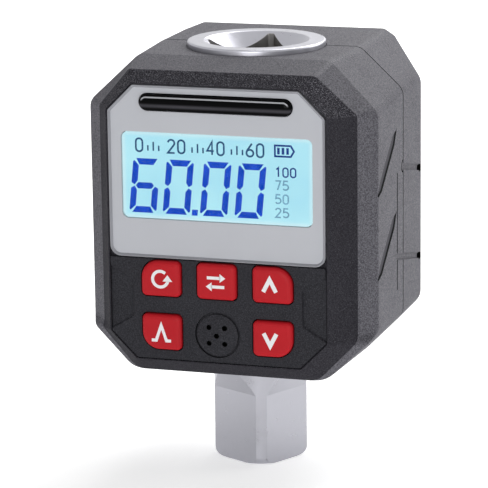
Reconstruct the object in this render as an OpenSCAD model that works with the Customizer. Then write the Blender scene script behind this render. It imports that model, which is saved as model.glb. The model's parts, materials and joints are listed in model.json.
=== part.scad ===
// Digital torque adapter with a half inch square drive
// Millimetres. The origin is the centre of the drive tip, +Z runs up the drive axis and the display faces -Y.

/* [Drive] */
// Across flats of the half inch drive square
drive_af = 12.7; // [12.5:0.1:13.5]
// Diameter of the round bar that the drive square is milled from
bar_d = 16.15; // [15.8:0.05:17]
// Length of the milled flats before they run out
flat_len = 12.6; // [10:0.1:13]
// Slope of the flats where they run out, from the axis
runout_angle = 22; // [15:1:35]
// Turn of the drive square's corner from straight ahead
drive_turn = 17.5; // [0:0.5:45]
// Height of the chamfer round the drive tip
tip_chamfer = 1.1; // [0.6:0.1:1.5]
// Diameter of the detent ball
ball_d = 3.2; // [2.6:0.1:3.6]
// Height of the detent ball above the drive tip
ball_rise = 6; // [5:0.1:8]
// How far the detent ball stands out of its flat
ball_proud = 0.55; // [0.3:0.05:0.6]
// Diameter of the steel head that holds the socket
head_d = 23.7; // [23:0.1:25]
// Length of the steel head
head_len = 21.5; // [20:0.1:24]
// How far the head stands above the housing
head_proud = 1; // [0.6:0.1:1.6]
// Across flats of the socket square
socket_af = 12.83; // [12.7:0.01:13.1]
// Diameter of the circle that rounds the socket's corners
socket_corner_d = 17.2; // [16.9:0.1:17.8]
// Depth of the socket square
socket_depth = 16; // [14:0.1:17]
// Mouth diameter of the socket's countersink
countersink_d = 17.8; // [17.4:0.1:19]
// Diameter of the strain gauge neck
neck_d = 13.5; // [12.5:0.1:14.5]
// Diameter of the collar above the round bar
collar_d = 20; // [18:0.1:21]
// Thickness of the collar
collar_t = 4.5; // [3:0.1:5.5]

/* [Housing] */
// Width of the housing across its sides
case_w = 50.4; // [49:0.1:54]
// Length of the drive below the housing
drive_drop = 18.7; // [17.5:0.1:22]
// From the drive axis forward to the rim of the bezel
case_front = 23.85; // [23.5:0.05:26]
// Thickness of the housing's walls
case_wall = 1.8; // [1.4:0.1:2.1]
// From the drive axis back to the joint of the two shells
parting = 2.2; // [1:0.1:4]
// Width of the housing's upper cut corners
top_corner_w = 8.2; // [7:0.1:9]
// Height of the upper cut corners
top_corner_h = 7.8; // [6:0.1:8.6]
// Width of the lower cut corners
low_corner_w = 7.5; // [7:0.1:9]
// Height of the lower cut corners
low_corner_h = 7.6; // [7:0.1:9]
// From the rim of the bezel back to where the sides become straight
side_set = 9.45; // [8.8:0.05:11]
// From the rim of the bezel back to where the top becomes flat
top_set = 11; // [9.5:0.1:12.5]
// Width of the bevels at the back corners
rear_bevel_w = 6.5; // [4:0.1:6.8]
// Depth of the bevels at the back corners
rear_bevel_d = 7.5; // [6:0.1:8.5]

/* [Front bezel] */
// From the housing's side in to the faceplate
plate_side = 6.5; // [6:0.1:7]
// From the housing's top down to the faceplate
plate_drop = 3.35; // [3:0.05:4]
// Thickness of the faceplate and the keypad panel
plate_t = 0.8; // [0.6:0.05:1]
// Cut of the faceplate's upper corners
plate_cut = 4.4; // [3.6:0.1:5]
// Radius of the faceplate's lower corners
plate_r = 1.9; // [1:0.1:3]
// Joint gap round the faceplate and the keypad panel
seam = 0.15; // [0.1:0.01:0.25]
// Width of the bezel's front rim
rim_land = 0.15; // [0.1:0.01:0.4]
// From the underside up to the keypad panel
panel_rise = 4.05; // [3.8:0.05:4.6]
// Cut of the keypad panel's lower corners
panel_cut = 4.5; // [3.6:0.1:5.2]
// Thickness of the bezel's floor behind the faceplate
floor_t = 1.2; // [1:0.05:1.4]
// How far the bezel spreads sideways towards the housing
bezel_spread = 3.45; // [3:0.05:4]
// Depth of the bezel at its sides
bezel_side_d = 6.6; // [6:0.1:7.2]
// Depth of the bezel at its top
bezel_top_d = 3.8; // [3.4:0.1:4.4]
// Depth of the bezel at its underside
bezel_low_d = 6; // [5.4:0.1:6.6]

/* [Display] */
// From the faceplate's side in to the display window
window_side = 2.3; // [2.2:0.1:4]
// From the faceplate's lower edge up to the display window
window_rise = 6.63; // [6:0.01:8]
// From the faceplate's top edge down to the display window
window_drop = 8; // [7.6:0.1:8.4]
// Corner radius of the display window
window_r = 1; // [0.5:0.1:2]
// From the faceplate's side in to the light bar
bar_side = 5.55; // [5.5:0.05:8]
// Height of the light bar
bar_h = 2.76; // [2.4:0.02:3]
// From the faceplate's top edge down to the middle of the light bar
bar_drop = 2.85; // [2.7:0.05:3.2]
// How far the light bar bulges out of the faceplate
bar_proud = 0.5; // [0.2:0.05:0.8]

/* [Keys] */
// From the panel's side in to the outer keys
key_side = 5.57; // [5.2:0.01:6.4]
// Space between the key columns
key_space = 2.78; // [2.4:0.02:3.4]
// Height of a key
key_h = 6.1; // [5.6:0.1:6.4]
// Distance between the key rows
row_pitch = 9.18; // [8.9:0.02:9.4]
// From the panel's lower edge up to the middle of the lower row
low_row_rise = 4.77; // [4.4:0.01:5]
// From the middle of the upper row up to the faceplate's lower edge
key_drop = 3.42; // [3.4:0.01:3.6]
// How far the keys stand out of the keypad panel
key_proud = 0.75; // [0.5:0.05:1]
// Travel of a key
key_travel = 0.3; // [0.2:0.05:0.4]
// Gap round a key
key_gap = 0.2; // [0.15:0.01:0.25]
// Radius of a key's large outer corner
key_big_r = 2.9; // [2:0.1:3]
// Radius of a key's other corners
key_small_r = 0.9; // [0.5:0.1:1.4]
// Diameter of the buzzer grille
grille_d = 7.7; // [7:0.1:8]
// How far the grille bulges out of the panel
grille_proud = 0.7; // [0.3:0.05:1]
// Diameter of a sound hole
sound_hole_d = 0.9; // [0.6:0.05:1.1]
// Offset of the outer sound holes from the middle
sound_hole_pitch = 1.36; // [1.2:0.02:1.6]

/* [Batteries] */
// Diameter of an AAA cell
cell_d = 10.5; // [10:0.1:10.5]
// Length of an AAA cell
cell_len = 44.5; // [43.5:0.1:44.5]
// Room at each end of a cell for its contact and spring
end_gap = 0.95; // [0.8:0.05:1.2]
// Thickness of the battery holder's ends
end_wall = 0.8; // [0.6:0.1:1.2]
// Room between the battery holder's ends and the housing's walls
end_room = 1.15; // [1:0.05:2]
// Thickness of the battery holder's sides
holder_side = 0.8; // [0.6:0.1:1]
// Room between the battery holder and the screw pillars
side_room = 0.75; // [0.6:0.05:1]
// Room between a cell and the steel head
cell_head_room = 1.3; // [0.6:0.05:2]
// Room between a cell and the battery door
cell_room = 1.45; // [0.8:0.05:1.8]
// From the battery holder's ends in to the ends of the battery door
door_end = 0.9; // [0.5:0.05:1]
// From the ends of the battery door in to its screws
door_screw_in = 3.7; // [3.2:0.1:5]
// Thickness of the battery door
door_t = 1.1; // [0.9:0.05:1.2]
// Distance that the lifted battery door moves back
door_travel = 12; // [8:0.5:20]

/* [Screws] */
// Radius of the pillars that the shell screws pass through
pillar_r = 2.8; // [2.6:0.1:3]
// Shank diameter of the shell screws
screw_d = 2.4; // [2:0.1:2.6]
// Head diameter of the shell screws
screw_head_d = 4.4; // [4:0.1:4.6]
// Head height of the shell screws
screw_head_h = 1.7; // [1.2:0.1:2]
// Shank length of the shell screws
screw_len = 16; // [13:0.5:17]
// Shank diameter of the small board and door screws
small_screw_d = 1.8; // [1.6:0.1:2]
// Head diameter of the small screws
small_head_d = 3.4; // [3:0.1:3.6]
// Head height of the small screws
small_head_h = 1; // [0.8:0.1:1.1]

/* [Hidden] */
$fn = 64;

// Shared clearances and overruns
// Overrun of every cut past the face it opens
over = 1;
// Clearance of parts that are laid into each other
fit_gap = 0.1;
// Radial clearance of a part that slides in a bore
slide_gap = 0.05;
// Small play behind a part that moves
play = 0.05;
// Clearance of parts that stay well apart
free_gap = 0.3;
// Overlap that joins two solids of one part
weld = 0.2;

// Colours
shell_colour = "#5e5e63";
bezel_colour = "#343438";
plate_colour = "#b9bbc0";
key_colour = "#d0222a";
steel_colour = "#b4b6ba";
board_colour = "#1f6b3a";
brass_colour = "#c9a24a";

// Battery bay, which sets the height and the depth of the housing
head_r = head_d / 2;
cell_r = cell_d / 2;
case_half = case_w / 2;
pillar_x = case_half - case_wall - pillar_r + weld;
holder_half = pillar_x - pillar_r - side_room;
cell_x = holder_half - holder_side - cell_r;
holder_h = cell_len + 2 * (end_gap + end_wall);
case_h = holder_h + 2 * (end_room + case_wall);
// The cells lie as far forward beside the head as they can, but never level with it
cell_beside_head = sqrt(pow(head_r + cell_r + cell_head_room, 2) - pow(min(cell_x, head_r), 2));
cell_y = max(cell_beside_head, head_r + holder_side + fit_gap);
case_back = cell_y + cell_r + cell_room + door_t;

// Heights
case_low = drive_drop;
case_top = drive_drop + case_h;
case_mid = (case_low + case_top) / 2;
head_top = case_top + head_proud;
head_low = head_top - head_len;

// Depths through the front, counted backwards from the bezel's rim
rim_y = -case_front;
seat_y = rim_y + plate_t;
floor_y = seat_y + floor_t;

// Faceplate and keypad panel, with the rows and columns of the keys
panel_low = case_low + panel_rise;
low_row_z = panel_low + low_row_rise;
key_row_z = low_row_z + row_pitch;
plate_top = case_top - plate_drop;
plate_low = key_row_z + key_drop;
plate_h = plate_top - plate_low;
plate_half = case_half - plate_side;
plate_w = 2 * plate_half;
panel_top = plate_low - seam;
key_w = (plate_w - 2 * key_side - 2 * key_space) / 3;
key_pitch = key_w + key_space;
window_w = plate_w - 2 * window_side;
window_h = plate_h - window_drop - window_rise;
bar_w = plate_w - 2 * bar_side;
rim_step = seam + rim_land;

// Rings of the front, each an octagon whose top, side and lower points lie at their own depth
// Rim ring on the bezel's front
rim_half = plate_half + rim_step;
rim_corner_growth_share = 2 - sqrt(2);
rim_top_cut = plate_cut + rim_step * rim_corner_growth_share;
rim_low_cut = panel_cut + rim_step * rim_corner_growth_share;
// Shoulder ring where the bezel meets the housing
shoulder_half = rim_half + bezel_spread;
// How far the shoulder's top and underside lie inside those of the housing
shoulder_top_in = 1.4;
shoulder_low_in = 0.45;
shoulder_top_corner = [6.35, 6.8];
shoulder_low_corner = [6.35, 6.35];

// Corners of the housing's outline
top_corner = [top_corner_w, top_corner_h];
low_corner = [low_corner_w, low_corner_h];

// Shift of an inner ring against its wall, from the slopes of the two faces that meet there
ring_edge_share = 0.41;

// Ring of eight points: half width, top, underside, corner cuts and the depths of side, top and underside
function ring(half, top, low, top_cut, low_cut, side_y, top_y, low_y) = [
    [-(half - top_cut.x), top_y, top],
    [half - top_cut.x, top_y, top],
    [half, side_y, top - top_cut.y],
    [half, side_y, low + low_cut.y],
    [half - low_cut.x, low_y, low],
    [-(half - low_cut.x), low_y, low],
    [-half, side_y, low + low_cut.y],
    [-half, side_y, top - top_cut.y]
];

// Legs of a corner cut after the side, the end and the slant have moved inwards
function cut_after(cut, side_in, end_in, slant_in) =
    let (slant = norm(cut))
    [
        cut.x - side_in + slant_in * slant / cut.y - end_in * cut.x / cut.y,
        cut.y - end_in + slant_in * slant / cut.x - side_in * cut.y / cut.x
    ];
function inset_corner(cut, inset) = cut_after(cut, inset, inset, inset);

function rim_ring() =
    ring(
        rim_half, plate_top + rim_step, panel_low - rim_step,
        [rim_top_cut, rim_top_cut], [rim_low_cut, rim_low_cut],
        rim_y, rim_y, rim_y
    );

function shoulder_ring(inset, shift) =
    ring(
        shoulder_half - inset,
        case_top - shoulder_top_in - inset,
        case_low + shoulder_low_in + inset,
        inset_corner(shoulder_top_corner, inset),
        inset_corner(shoulder_low_corner, inset),
        rim_y + bezel_side_d + shift,
        rim_y + bezel_top_d + shift,
        rim_y + bezel_low_d + shift
    );

function edge_ring(inset) =
    ring(
        case_half - inset, case_top - inset, case_low + inset,
        inset_corner(top_corner, inset), inset_corner(low_corner, inset),
        rim_y + side_set + inset * ring_edge_share,
        rim_y + top_set + inset * ring_edge_share,
        rim_y + side_set + inset * ring_edge_share
    );

function flat_ring(inset, depth) =
    ring(
        case_half - inset, case_top - inset, case_low + inset,
        inset_corner(top_corner, inset), inset_corner(low_corner, inset),
        depth, depth, depth
    );

function middle(points) = [for (axis = [0 : 2]) (min([for (p = points) p[axis]]) + max([for (p = points) p[axis]])) / 2];

// Solid through a row of rings from front to back, with a fan over each end
module loft(rings) {
    sides = len(rings[0]);
    last = len(rings) - 1;
    front_hub = sides * len(rings);
    points = concat(
        [for (one = rings) each one],
        [middle(rings[0]), middle(rings[last])]
    );
    skin = [
        for (i = [0 : last - 1])
            for (k = [0 : sides - 1])
                let (next = (k + 1) % sides)
                let (a = i * sides + k)
                let (b = i * sides + next)
                let (c = b + sides)
                let (d = a + sides)
                each k < sides / 2 ? [[a, d, b], [b, d, c]] : [[a, c, b], [a, d, c]]
    ];
    front_fan = [for (k = [0 : sides - 1]) [front_hub, k, (k + 1) % sides]];
    back_fan = [for (k = [0 : sides - 1]) [front_hub + 1, last * sides + (k + 1) % sides, last * sides + k]];
    polyhedron(points = points, faces = concat(skin, front_fan, back_fan), convexity = 4);
}

// Outline of the housing seen from the front
module case_outline(inset) {
    polygon([for (p = flat_ring(inset, 0)) [p.x, p.z]]);
}

// Extrudes an outline drawn in X and Z from one depth to another
module along_y(from, to) {
    translate([0, to, 0])
        rotate([90, 0, 0])
            linear_extrude(height = to - from)
                children();
}

// Cylinder along Y with its ends at two depths
module rod_y(d, from, to) {
    translate([0, from, 0])
        rotate([-90, 0, 0])
            cylinder(d = d, h = to - from);
}

// Rectangle with rounded corners round a centre
module rounded_rect(w, h, r) {
    offset_w = w - 2 * r;
    offset_h = h - 2 * r;
    union() {
        square([offset_w, h], center = true);
        square([w, offset_h], center = true);
        for (x = [-1, 1])
            for (y = [-1, 1])
                translate([x * offset_w / 2, y * offset_h / 2])
                    circle(r = r);
    }
}

// Bar with half round ends round a centre
module stadium(w, h) {
    square([w - h, h], center = true);
    for (x = [-1, 1])
        translate([x * (w - h) / 2, 0])
            circle(d = h);
}

// Tube of a given radius swept along a row of points
function unit(v) = v / norm(v);
function tube_ring(path, i, r, sides, ref) =
    let (before = path[max(i - 1, 0)])
    let (after = path[min(i + 1, len(path) - 1)])
    let (t = unit(after - before))
    let (n = unit(cross(t, ref)))
    let (b = cross(t, n))
    [for (k = [0 : sides - 1]) path[i] + r * (cos(360 * k / sides) * n + sin(360 * k / sides) * b)];

module tube(path, r, sides, ref) {
    last = len(path) - 1;
    rings = [for (i = [0 : last]) tube_ring(path, i, r, sides, ref)];
    points = [for (one = rings) each one];
    skin = [
        for (i = [0 : last - 1])
            for (k = [0 : sides - 1])
                let (next = (k + 1) % sides)
                [i * sides + k, (i + 1) * sides + k, (i + 1) * sides + next, i * sides + next]
    ];
    first_cap = [[for (k = [0 : sides - 1]) k]];
    last_cap = [[for (k = [0 : sides - 1]) last * sides + sides - 1 - k]];
    polyhedron(points = points, faces = concat(skin, first_cap, last_cap), convexity = 10);
}

// Coil spring standing on XY, with the diameters of its foot and its tip
module coil(foot_d, tip_d, wire_d, height, turns) {
    steps = 20 * turns;
    rise = height - wire_d;
    path = [
        for (i = [0 : steps])
            let (r = (foot_d - wire_d) / 2 + (tip_d - foot_d) / 2 * i / steps)
            [
                r * cos(360 * turns * i / steps),
                r * sin(360 * turns * i / steps),
                wire_d / 2 + rise * i / steps
            ]
    ];
    tube(path, wire_d / 2, 6, [0, 0, 1]);
}

// Steel transducer
bar_r = bar_d / 2;
neck_r = neck_d / 2;
seal_room = 0.8;
collar_low = case_low + case_wall + seal_room;
collar_top = collar_low + collar_t;
neck_cone = (collar_d - neck_d) / 4;
head_rim = 0.45;
tip_r = bar_r - tip_chamfer;
socket_floor = head_top - socket_depth;
// Slots across the head that the shells' saddles hold
saddle_drop = 12.4;
saddle_h = 2.4;
saddle_depth = 1.7;
saddle_z = head_top - saddle_drop;
saddle_half = head_r - saddle_depth;
ball_hole_d = ball_d + 2 * slide_gap;
ball_x = drive_af / 2 + ball_proud - ball_d / 2;
ball_hole_floor = 1.3;
detent_angle = drive_turn + 45;

module drive_flat_cutter() {
    run = (bar_r - drive_af / 2) / tan(runout_angle);
    rotate([90, 0, 0])
        linear_extrude(height = bar_d, center = true)
            polygon([
                [drive_af / 2, -over],
                [bar_d, -over],
                [bar_d, flat_len + run * 2],
                [drive_af / 2 + (bar_r - drive_af / 2) * 2, flat_len + run * 2],
                [drive_af / 2, flat_len]
            ]);
}

module transducer_body() {
    color(steel_colour)
        difference() {
            rotate_extrude()
                polygon([
                    [0, 0],
                    [tip_r, 0],
                    [bar_r, tip_chamfer],
                    [bar_r, collar_low],
                    [collar_d / 2, collar_low],
                    [collar_d / 2, collar_top],
                    [neck_r, collar_top + neck_cone],
                    [neck_r, head_low - neck_cone],
                    [head_r - head_rim, head_low],
                    [head_r, head_low + head_rim],
                    [head_r, head_top - head_rim],
                    [head_r - head_rim, head_top],
                    [0, head_top]
                ]);
            for (turn = [0 : 3])
                rotate([0, 0, drive_turn - 45 + 90 * turn])
                    drive_flat_cutter();
            intersection() {
                rotate([0, 0, 45])
                    translate([-socket_af / 2, -socket_af / 2, socket_floor])
                        cube([socket_af, socket_af, socket_depth + over]);
                translate([0, 0, socket_floor])
                    cylinder(d = socket_corner_d, h = socket_depth + over);
            }
            rotate_extrude()
                polygon([
                    [0, head_top - countersink_d / 2],
                    [countersink_d / 2, head_top],
                    [countersink_d / 2, head_top + over],
                    [0, head_top + over]
                ]);
            for (side = [0, 180])
                rotate([0, 0, side])
                    translate([saddle_half, -head_r, saddle_z])
                        cube([head_r, head_d, saddle_h]);
            rotate([0, 0, detent_angle])
                translate([ball_hole_floor, 0, ball_rise])
                    rotate([0, 90, 0])
                        cylinder(d = ball_hole_d, h = drive_af);
        }
}

module detent_ball() {
    color("#d8d8dc")
        rotate([0, 0, detent_angle])
            translate([ball_x, 0, ball_rise])
                sphere(d = ball_d);
}

detent_wire_d = 0.4;
detent_turns = 3;
module detent_spring() {
    detent_spring_d = ball_d - 2 * free_gap;
    // Free end stops where the pressed ball comes to rest
    spring_len = ball_x - ball_d / 2 - ball_proud - play - ball_hole_floor;
    color("#a0a0a4")
        rotate([0, 0, detent_angle])
            translate([ball_hole_floor, 0, ball_rise])
                rotate([0, 90, 0])
                    coil(detent_spring_d, detent_spring_d, detent_wire_d, spring_len, detent_turns);
}

// Strain gauges bonded round the neck
gauge_w = 5;
gauge_h = 8;
gauge_t = 0.35;
gauge_z = (collar_top + head_low) / 2;
module strain_gauges() {
    color("#d9a441")
        for (turn = [0, 180])
            rotate([0, 0, turn])
                intersection() {
                    translate([-gauge_w / 2, -neck_d, gauge_z - gauge_h / 2])
                        cube([gauge_w, neck_d, gauge_h]);
                    difference() {
                        translate([0, 0, gauge_z - gauge_h / 2])
                            cylinder(r = neck_r + gauge_t, h = gauge_h);
                        translate([0, 0, gauge_z - gauge_h])
                            cylinder(r = neck_r, h = gauge_h * 2);
                    }
                }
}

// Rubber seals between steel and housing
seal_t = 1.2;
seal_w = 1.6;
module seal(inner_r, low) {
    color("#202022")
        translate([0, 0, low])
            difference() {
                cylinder(r = inner_r + seal_w, h = seal_t);
                translate([0, 0, -over])
                    cylinder(r = inner_r, h = seal_t + 2 * over);
            }
}
module top_seal() {
    seal(head_r, case_top - case_wall - seal_t);
}
module bottom_seal() {
    difference() {
        seal(bar_r, case_low + case_wall);
        translate([0, 0, collar_low])
            cylinder(d = collar_d + 2 * fit_gap, h = seal_t);
    }
}

// Screw pillars at the sides, shared by both shells
pillar_pitch = 27;
pillar_reach = 8;
screw_seat_depth = 8.6;
pillar_low_z = case_mid - pillar_pitch / 2;
pillar_top_z = case_mid + pillar_pitch / 2;
pillar_front = parting - pillar_reach;
screw_seat_y = parting + screw_seat_depth;
module at_pillars() {
    for (x = [-pillar_x, pillar_x])
        for (z = [pillar_low_z, pillar_top_z])
            translate([x, 0, z])
                children();
}

// Tongue of the front shell inside the rear shell
tongue_len = 1.2;
tongue_in = case_wall / 2;

// Diagonal grooves pressed into the front shell's sides, as depth and height from the top
groove_depth = 0.8;
groove_w = 1.4;
groove_run = 12.9;
groove_fall = 9.6;
groove_back_y = -2.2;
groove_drops = [13, 27.2];
module side_groove() {
    slant = norm([groove_run, groove_fall]);
    polygon([
        [0, 0],
        [-slant / 4, groove_w / 2],
        [-slant * 3 / 4, groove_w / 2],
        [-slant, 0],
        [-slant * 3 / 4, -groove_w / 2],
        [-slant / 4, -groove_w / 2]
    ]);
}

// Slanted finger slots of the sides
slot_w = 1.1;
slot_depth = 0.35;
slot_fall_angle = 12;
slot_drops = [19.3, 34.8];
slot_front_y = [0.6, -2.2];
notch_depth = 1.3;
notch_w = 1.5;
// Lip that closes a notch towards the rear bevel
notch_lip = 0.2;
notch_back = case_back - rear_bevel_d - notch_lip;
// Fine line at the front edge of the grip
line_y = -1.8;
line_w = 0.25;
line_drop = 20.7;
line_h = 20.4;

// Marks of both sides, cut inwards from the side faces
module side_marks() {
    for (side = [0, 1])
        mirror([side, 0, 0]) {
            for (drop = groove_drops)
                translate([case_half - groove_depth, groove_back_y, case_top - drop])
                    rotate([0, 90, 0])
                        rotate([0, 0, 90])
                            linear_extrude(height = groove_depth + over)
                                rotate([0, 0, atan(groove_fall / groove_run)])
                                    side_groove();
            for (i = [0 : len(slot_drops) - 1])
                translate([case_half - slot_depth, slot_front_y[i], case_top - slot_drops[i]])
                    rotate([-slot_fall_angle, 0, 0])
                        translate([0, 0, -slot_w])
                            cube([slot_depth + over, (notch_back - slot_front_y[i]) / cos(slot_fall_angle), slot_w]);
            translate([case_half - slot_depth, line_y, case_top - line_drop - line_h])
                cube([slot_depth + over, line_w, line_h]);
        }
}

// Notches that end the finger slots just before the rear bevel
module side_notches() {
    for (side = [0, 1])
        mirror([side, 0, 0])
            for (i = [0 : len(slot_drops) - 1]) {
                fall = (notch_back - slot_front_y[i]) * tan(slot_fall_angle);
                translate([case_half - notch_depth, notch_back - notch_w, case_top - slot_drops[i] - fall - slot_w])
                    cube([notch_depth + over, notch_w, slot_w]);
            }
}

// Shelf at each side whose straight edge sits in a slot of the head
saddle_reach = 5;
module saddle(from, to) {
    translate([0, 0, saddle_z + fit_gap])
        linear_extrude(height = saddle_h - 2 * fit_gap)
            for (side = [0, 1])
                mirror([side, 0])
                    translate([saddle_half + fit_gap, from])
                        square([case_half - saddle_half - fit_gap - case_wall / 2, to - from]);
}

module shaft_holes() {
    translate([0, 0, case_mid])
        cylinder(r = head_r + fit_gap, h = case_h);
    translate([0, 0, case_low - over])
        cylinder(r = bar_r + fit_gap, h = case_mid - case_low);
    translate([0, 0, case_top - case_wall - seal_t])
        cylinder(r = head_r + seal_w, h = seal_t);
}

module front_shell() {
    color(shell_colour)
        difference() {
            union() {
                difference() {
                    loft([shoulder_ring(0, 0), edge_ring(0), flat_ring(0, parting)]);
                    loft([
                        shoulder_ring(case_wall, -4 * over),
                        shoulder_ring(case_wall, over),
                        edge_ring(case_wall),
                        flat_ring(case_wall, parting + over)
                    ]);
                }
                along_y(parting - over, parting + tongue_len)
                    difference() {
                        case_outline(tongue_in + fit_gap / 2);
                        case_outline(case_wall);
                    }
                intersection() {
                    union() {
                        at_pillars()
                            rod_y(2 * pillar_r, pillar_front, parting);
                        saddle(-saddle_reach, parting);
                    }
                    along_y(-case_front, parting)
                        case_outline(case_wall / 2);
                }
            }
            at_pillars()
                rod_y(screw_d + fit_gap, screw_seat_y - screw_len - over, parting + over);
            side_marks();
            shaft_holes();
        }
}

// Rear shell as the front outline cut by the plan of the back
module rear_block(inset) {
    slant = norm([rear_bevel_w, rear_bevel_d]);
    plan_w = rear_bevel_w - inset + inset * (slant - rear_bevel_w) / rear_bevel_d;
    plan_d = rear_bevel_d - inset + inset * (slant - rear_bevel_d) / rear_bevel_w;
    back = case_back - inset;
    half = case_half - inset;
    intersection() {
        along_y(parting - (inset > 0 ? over : 0), case_back)
            case_outline(inset);
        translate([0, 0, case_low - over])
            linear_extrude(height = case_h + 2 * over)
                polygon([
                    [-half, -back],
                    [half, -back],
                    [half, back - plan_d],
                    [half - plan_w, back],
                    [-(half - plan_w), back],
                    [-half, back - plan_d]
                ]);
    }
}

// Battery door and its seat
door_w = 2 * (holder_half + play);
door_h = holder_h - 2 * door_end;
door_ledge = 0.5;
door_r = 2.5;
door_screw_pitch = door_h - 2 * door_screw_in;
door_screw_len = 6;
door_screw_z = [case_mid - door_screw_pitch / 2, case_mid + door_screw_pitch / 2];
module door_outline(grow) {
    translate([0, case_mid])
        rounded_rect(door_w + 2 * grow, door_h + 2 * grow, door_r + grow);
}

module rear_shell() {
    color(shell_colour)
        difference() {
            union() {
                difference() {
                    rear_block(0);
                    rear_block(case_wall);
                }
                intersection() {
                    union() {
                        at_pillars()
                            rod_y(2 * pillar_r, parting, case_back);
                        saddle(parting + tongue_len + fit_gap, head_r / 2);
                    }
                    rear_block(case_wall / 2);
                }
            }
            along_y(parting - over, parting + tongue_len + fit_gap)
                difference() {
                    case_outline(tongue_in);
                    case_outline(case_wall + fit_gap);
                }
            at_pillars() {
                rod_y(screw_d + 2 * fit_gap, parting - over, screw_seat_y + over);
                rod_y(screw_head_d + 2 * fit_gap, screw_seat_y, case_back + over);
            }
            along_y(case_back - door_t, case_back + over)
                door_outline(seam);
            along_y(case_back - case_wall - over, case_back)
                door_outline(-door_ledge);
            side_marks();
            side_notches();
            shaft_holes();
        }
}

// Plate outlines
module plate_outline() {
    difference() {
        union() {
            translate([-plate_half, plate_low + plate_r])
                square([plate_w, plate_h - plate_r]);
            translate([-(plate_half - plate_r), plate_low])
                square([plate_w - 2 * plate_r, plate_h]);
            for (x = [-1, 1])
                translate([x * (plate_half - plate_r), plate_low + plate_r])
                    circle(r = plate_r);
        }
        for (side = [0, 1])
            mirror([side, 0])
                polygon([
                    [plate_half - plate_cut, plate_top],
                    [plate_half + over, plate_top - plate_cut - over],
                    [plate_half + over, plate_top + over],
                    [plate_half - plate_cut, plate_top + over]
                ]);
    }
}
module panel_outline() {
    polygon([
        [-plate_half, panel_top],
        [-plate_half, panel_low + panel_cut],
        [-(plate_half - panel_cut), panel_low],
        [plate_half - panel_cut, panel_low],
        [plate_half, panel_low + panel_cut],
        [plate_half, panel_top]
    ]);
}
// Recess of the bezel that takes both plates
module recess_outline() {
    half = plate_half + seam;
    cut = seam * rim_corner_growth_share;
    polygon([
        [-half, plate_top + seam - plate_cut - cut],
        [-(half - plate_cut - cut), plate_top + seam],
        [half - plate_cut - cut, plate_top + seam],
        [half, plate_top + seam - plate_cut - cut],
        [half, panel_low - seam + panel_cut + cut],
        [half - panel_cut - cut, panel_low - seam],
        [-(half - panel_cut - cut), panel_low - seam],
        [-half, panel_low - seam + panel_cut + cut]
    ]);
}

// Display window, light bar and key places
window_z = plate_top - window_drop - window_h / 2;
bar_z = plate_top - bar_drop;
module window_outline(grow) {
    translate([0, window_z])
        rounded_rect(window_w + 2 * grow, window_h + 2 * grow, window_r + grow);
}
module bar_outline(grow) {
    translate([0, bar_z])
        stadium(bar_w + 2 * grow, bar_h + 2 * grow);
}

// Key outline round its centre, with the large corner turned to one side and end
module key_outline(grow, big_x, big_z) {
    w = key_w + 2 * grow;
    h = key_h + 2 * grow;
    union()
        for (x = [-1, 1])
            for (z = [-1, 1]) {
                r = min(x == big_x && z == big_z ? key_big_r : key_small_r, key_w / 2 - play) + grow;
                intersection() {
                    translate([x * w / 4, z * h / 4])
                        square([w / 2, h / 2], center = true);
                    union() {
                        translate([x * (w / 2 - r), z * (h / 2 - r)])
                            circle(r = r);
                        translate([x * (w / 4 - r / 2), 0])
                            square([w / 2 - r, h], center = true);
                        translate([0, z * (h / 4 - r / 2)])
                            square([w, h / 2 - r], center = true);
                    }
                }
            }
}

// Column, row height and large corner of each key
KEY_CLEAR = [-key_pitch, key_row_z, -1, 1];
KEY_UNIT = [0, key_row_z, 0, 0];
KEY_UP = [key_pitch, key_row_z, 1, 1];
KEY_MODE = [-key_pitch, low_row_z, -1, -1];
KEY_DOWN = [key_pitch, low_row_z, 1, -1];
KEYS = [KEY_CLEAR, KEY_UNIT, KEY_UP, KEY_MODE, KEY_DOWN];

module all_keys_outline(grow) {
    for (k = KEYS)
        translate([k[0], k[1]])
            key_outline(grow, k[2], k[3]);
}

module faceplate() {
    color(plate_colour)
        along_y(rim_y, seat_y)
            difference() {
                plate_outline();
                window_outline(fit_gap);
                bar_outline(fit_gap);
            }
}

// Keypad panel with a sunk finger wing at each side
wing_sink = 0.3;
wing_in = 4.1;
wing_top_drop = 1.4;
wing_slope_top = 2.2;
wing_slope_low = 2.4;
wing_low_rise = 4.6;
wing_bend = 0.5;
module wing_outline() {
    top = plate_low - wing_top_drop;
    low = panel_low + wing_low_rise;
    polygon([
        [plate_half + over, top + over * wing_slope_top / wing_in],
        [plate_half - wing_in + wing_bend, top - wing_slope_top],
        [plate_half - wing_in, top - wing_slope_top - wing_bend * 2],
        [plate_half - wing_in, low + wing_slope_low + wing_bend * 2],
        [plate_half - wing_in + wing_bend, low + wing_slope_low],
        [plate_half + over, low - over * wing_slope_low / wing_in]
    ]);
}

grille_z = low_row_z;
grille_r = grille_d / 2;
module keypad_panel() {
    color(bezel_colour)
        difference() {
            along_y(rim_y, seat_y)
                difference() {
                    panel_outline();
                    all_keys_outline(key_gap);
                    translate([0, grille_z])
                        circle(r = grille_r + fit_gap);
                }
            for (side = [0, 1])
                mirror([side, 0, 0])
                    along_y(rim_y - over, rim_y + wing_sink)
                        wing_outline();
        }
}

// Bezel that carries the faceplate, the display and the keys
skirt_t = 1;
skirt_len = 3;
bezel_side_wall = 1.35;
bezel_top_wall = 2.1;
bezel_low_wall = 1.4;
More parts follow.
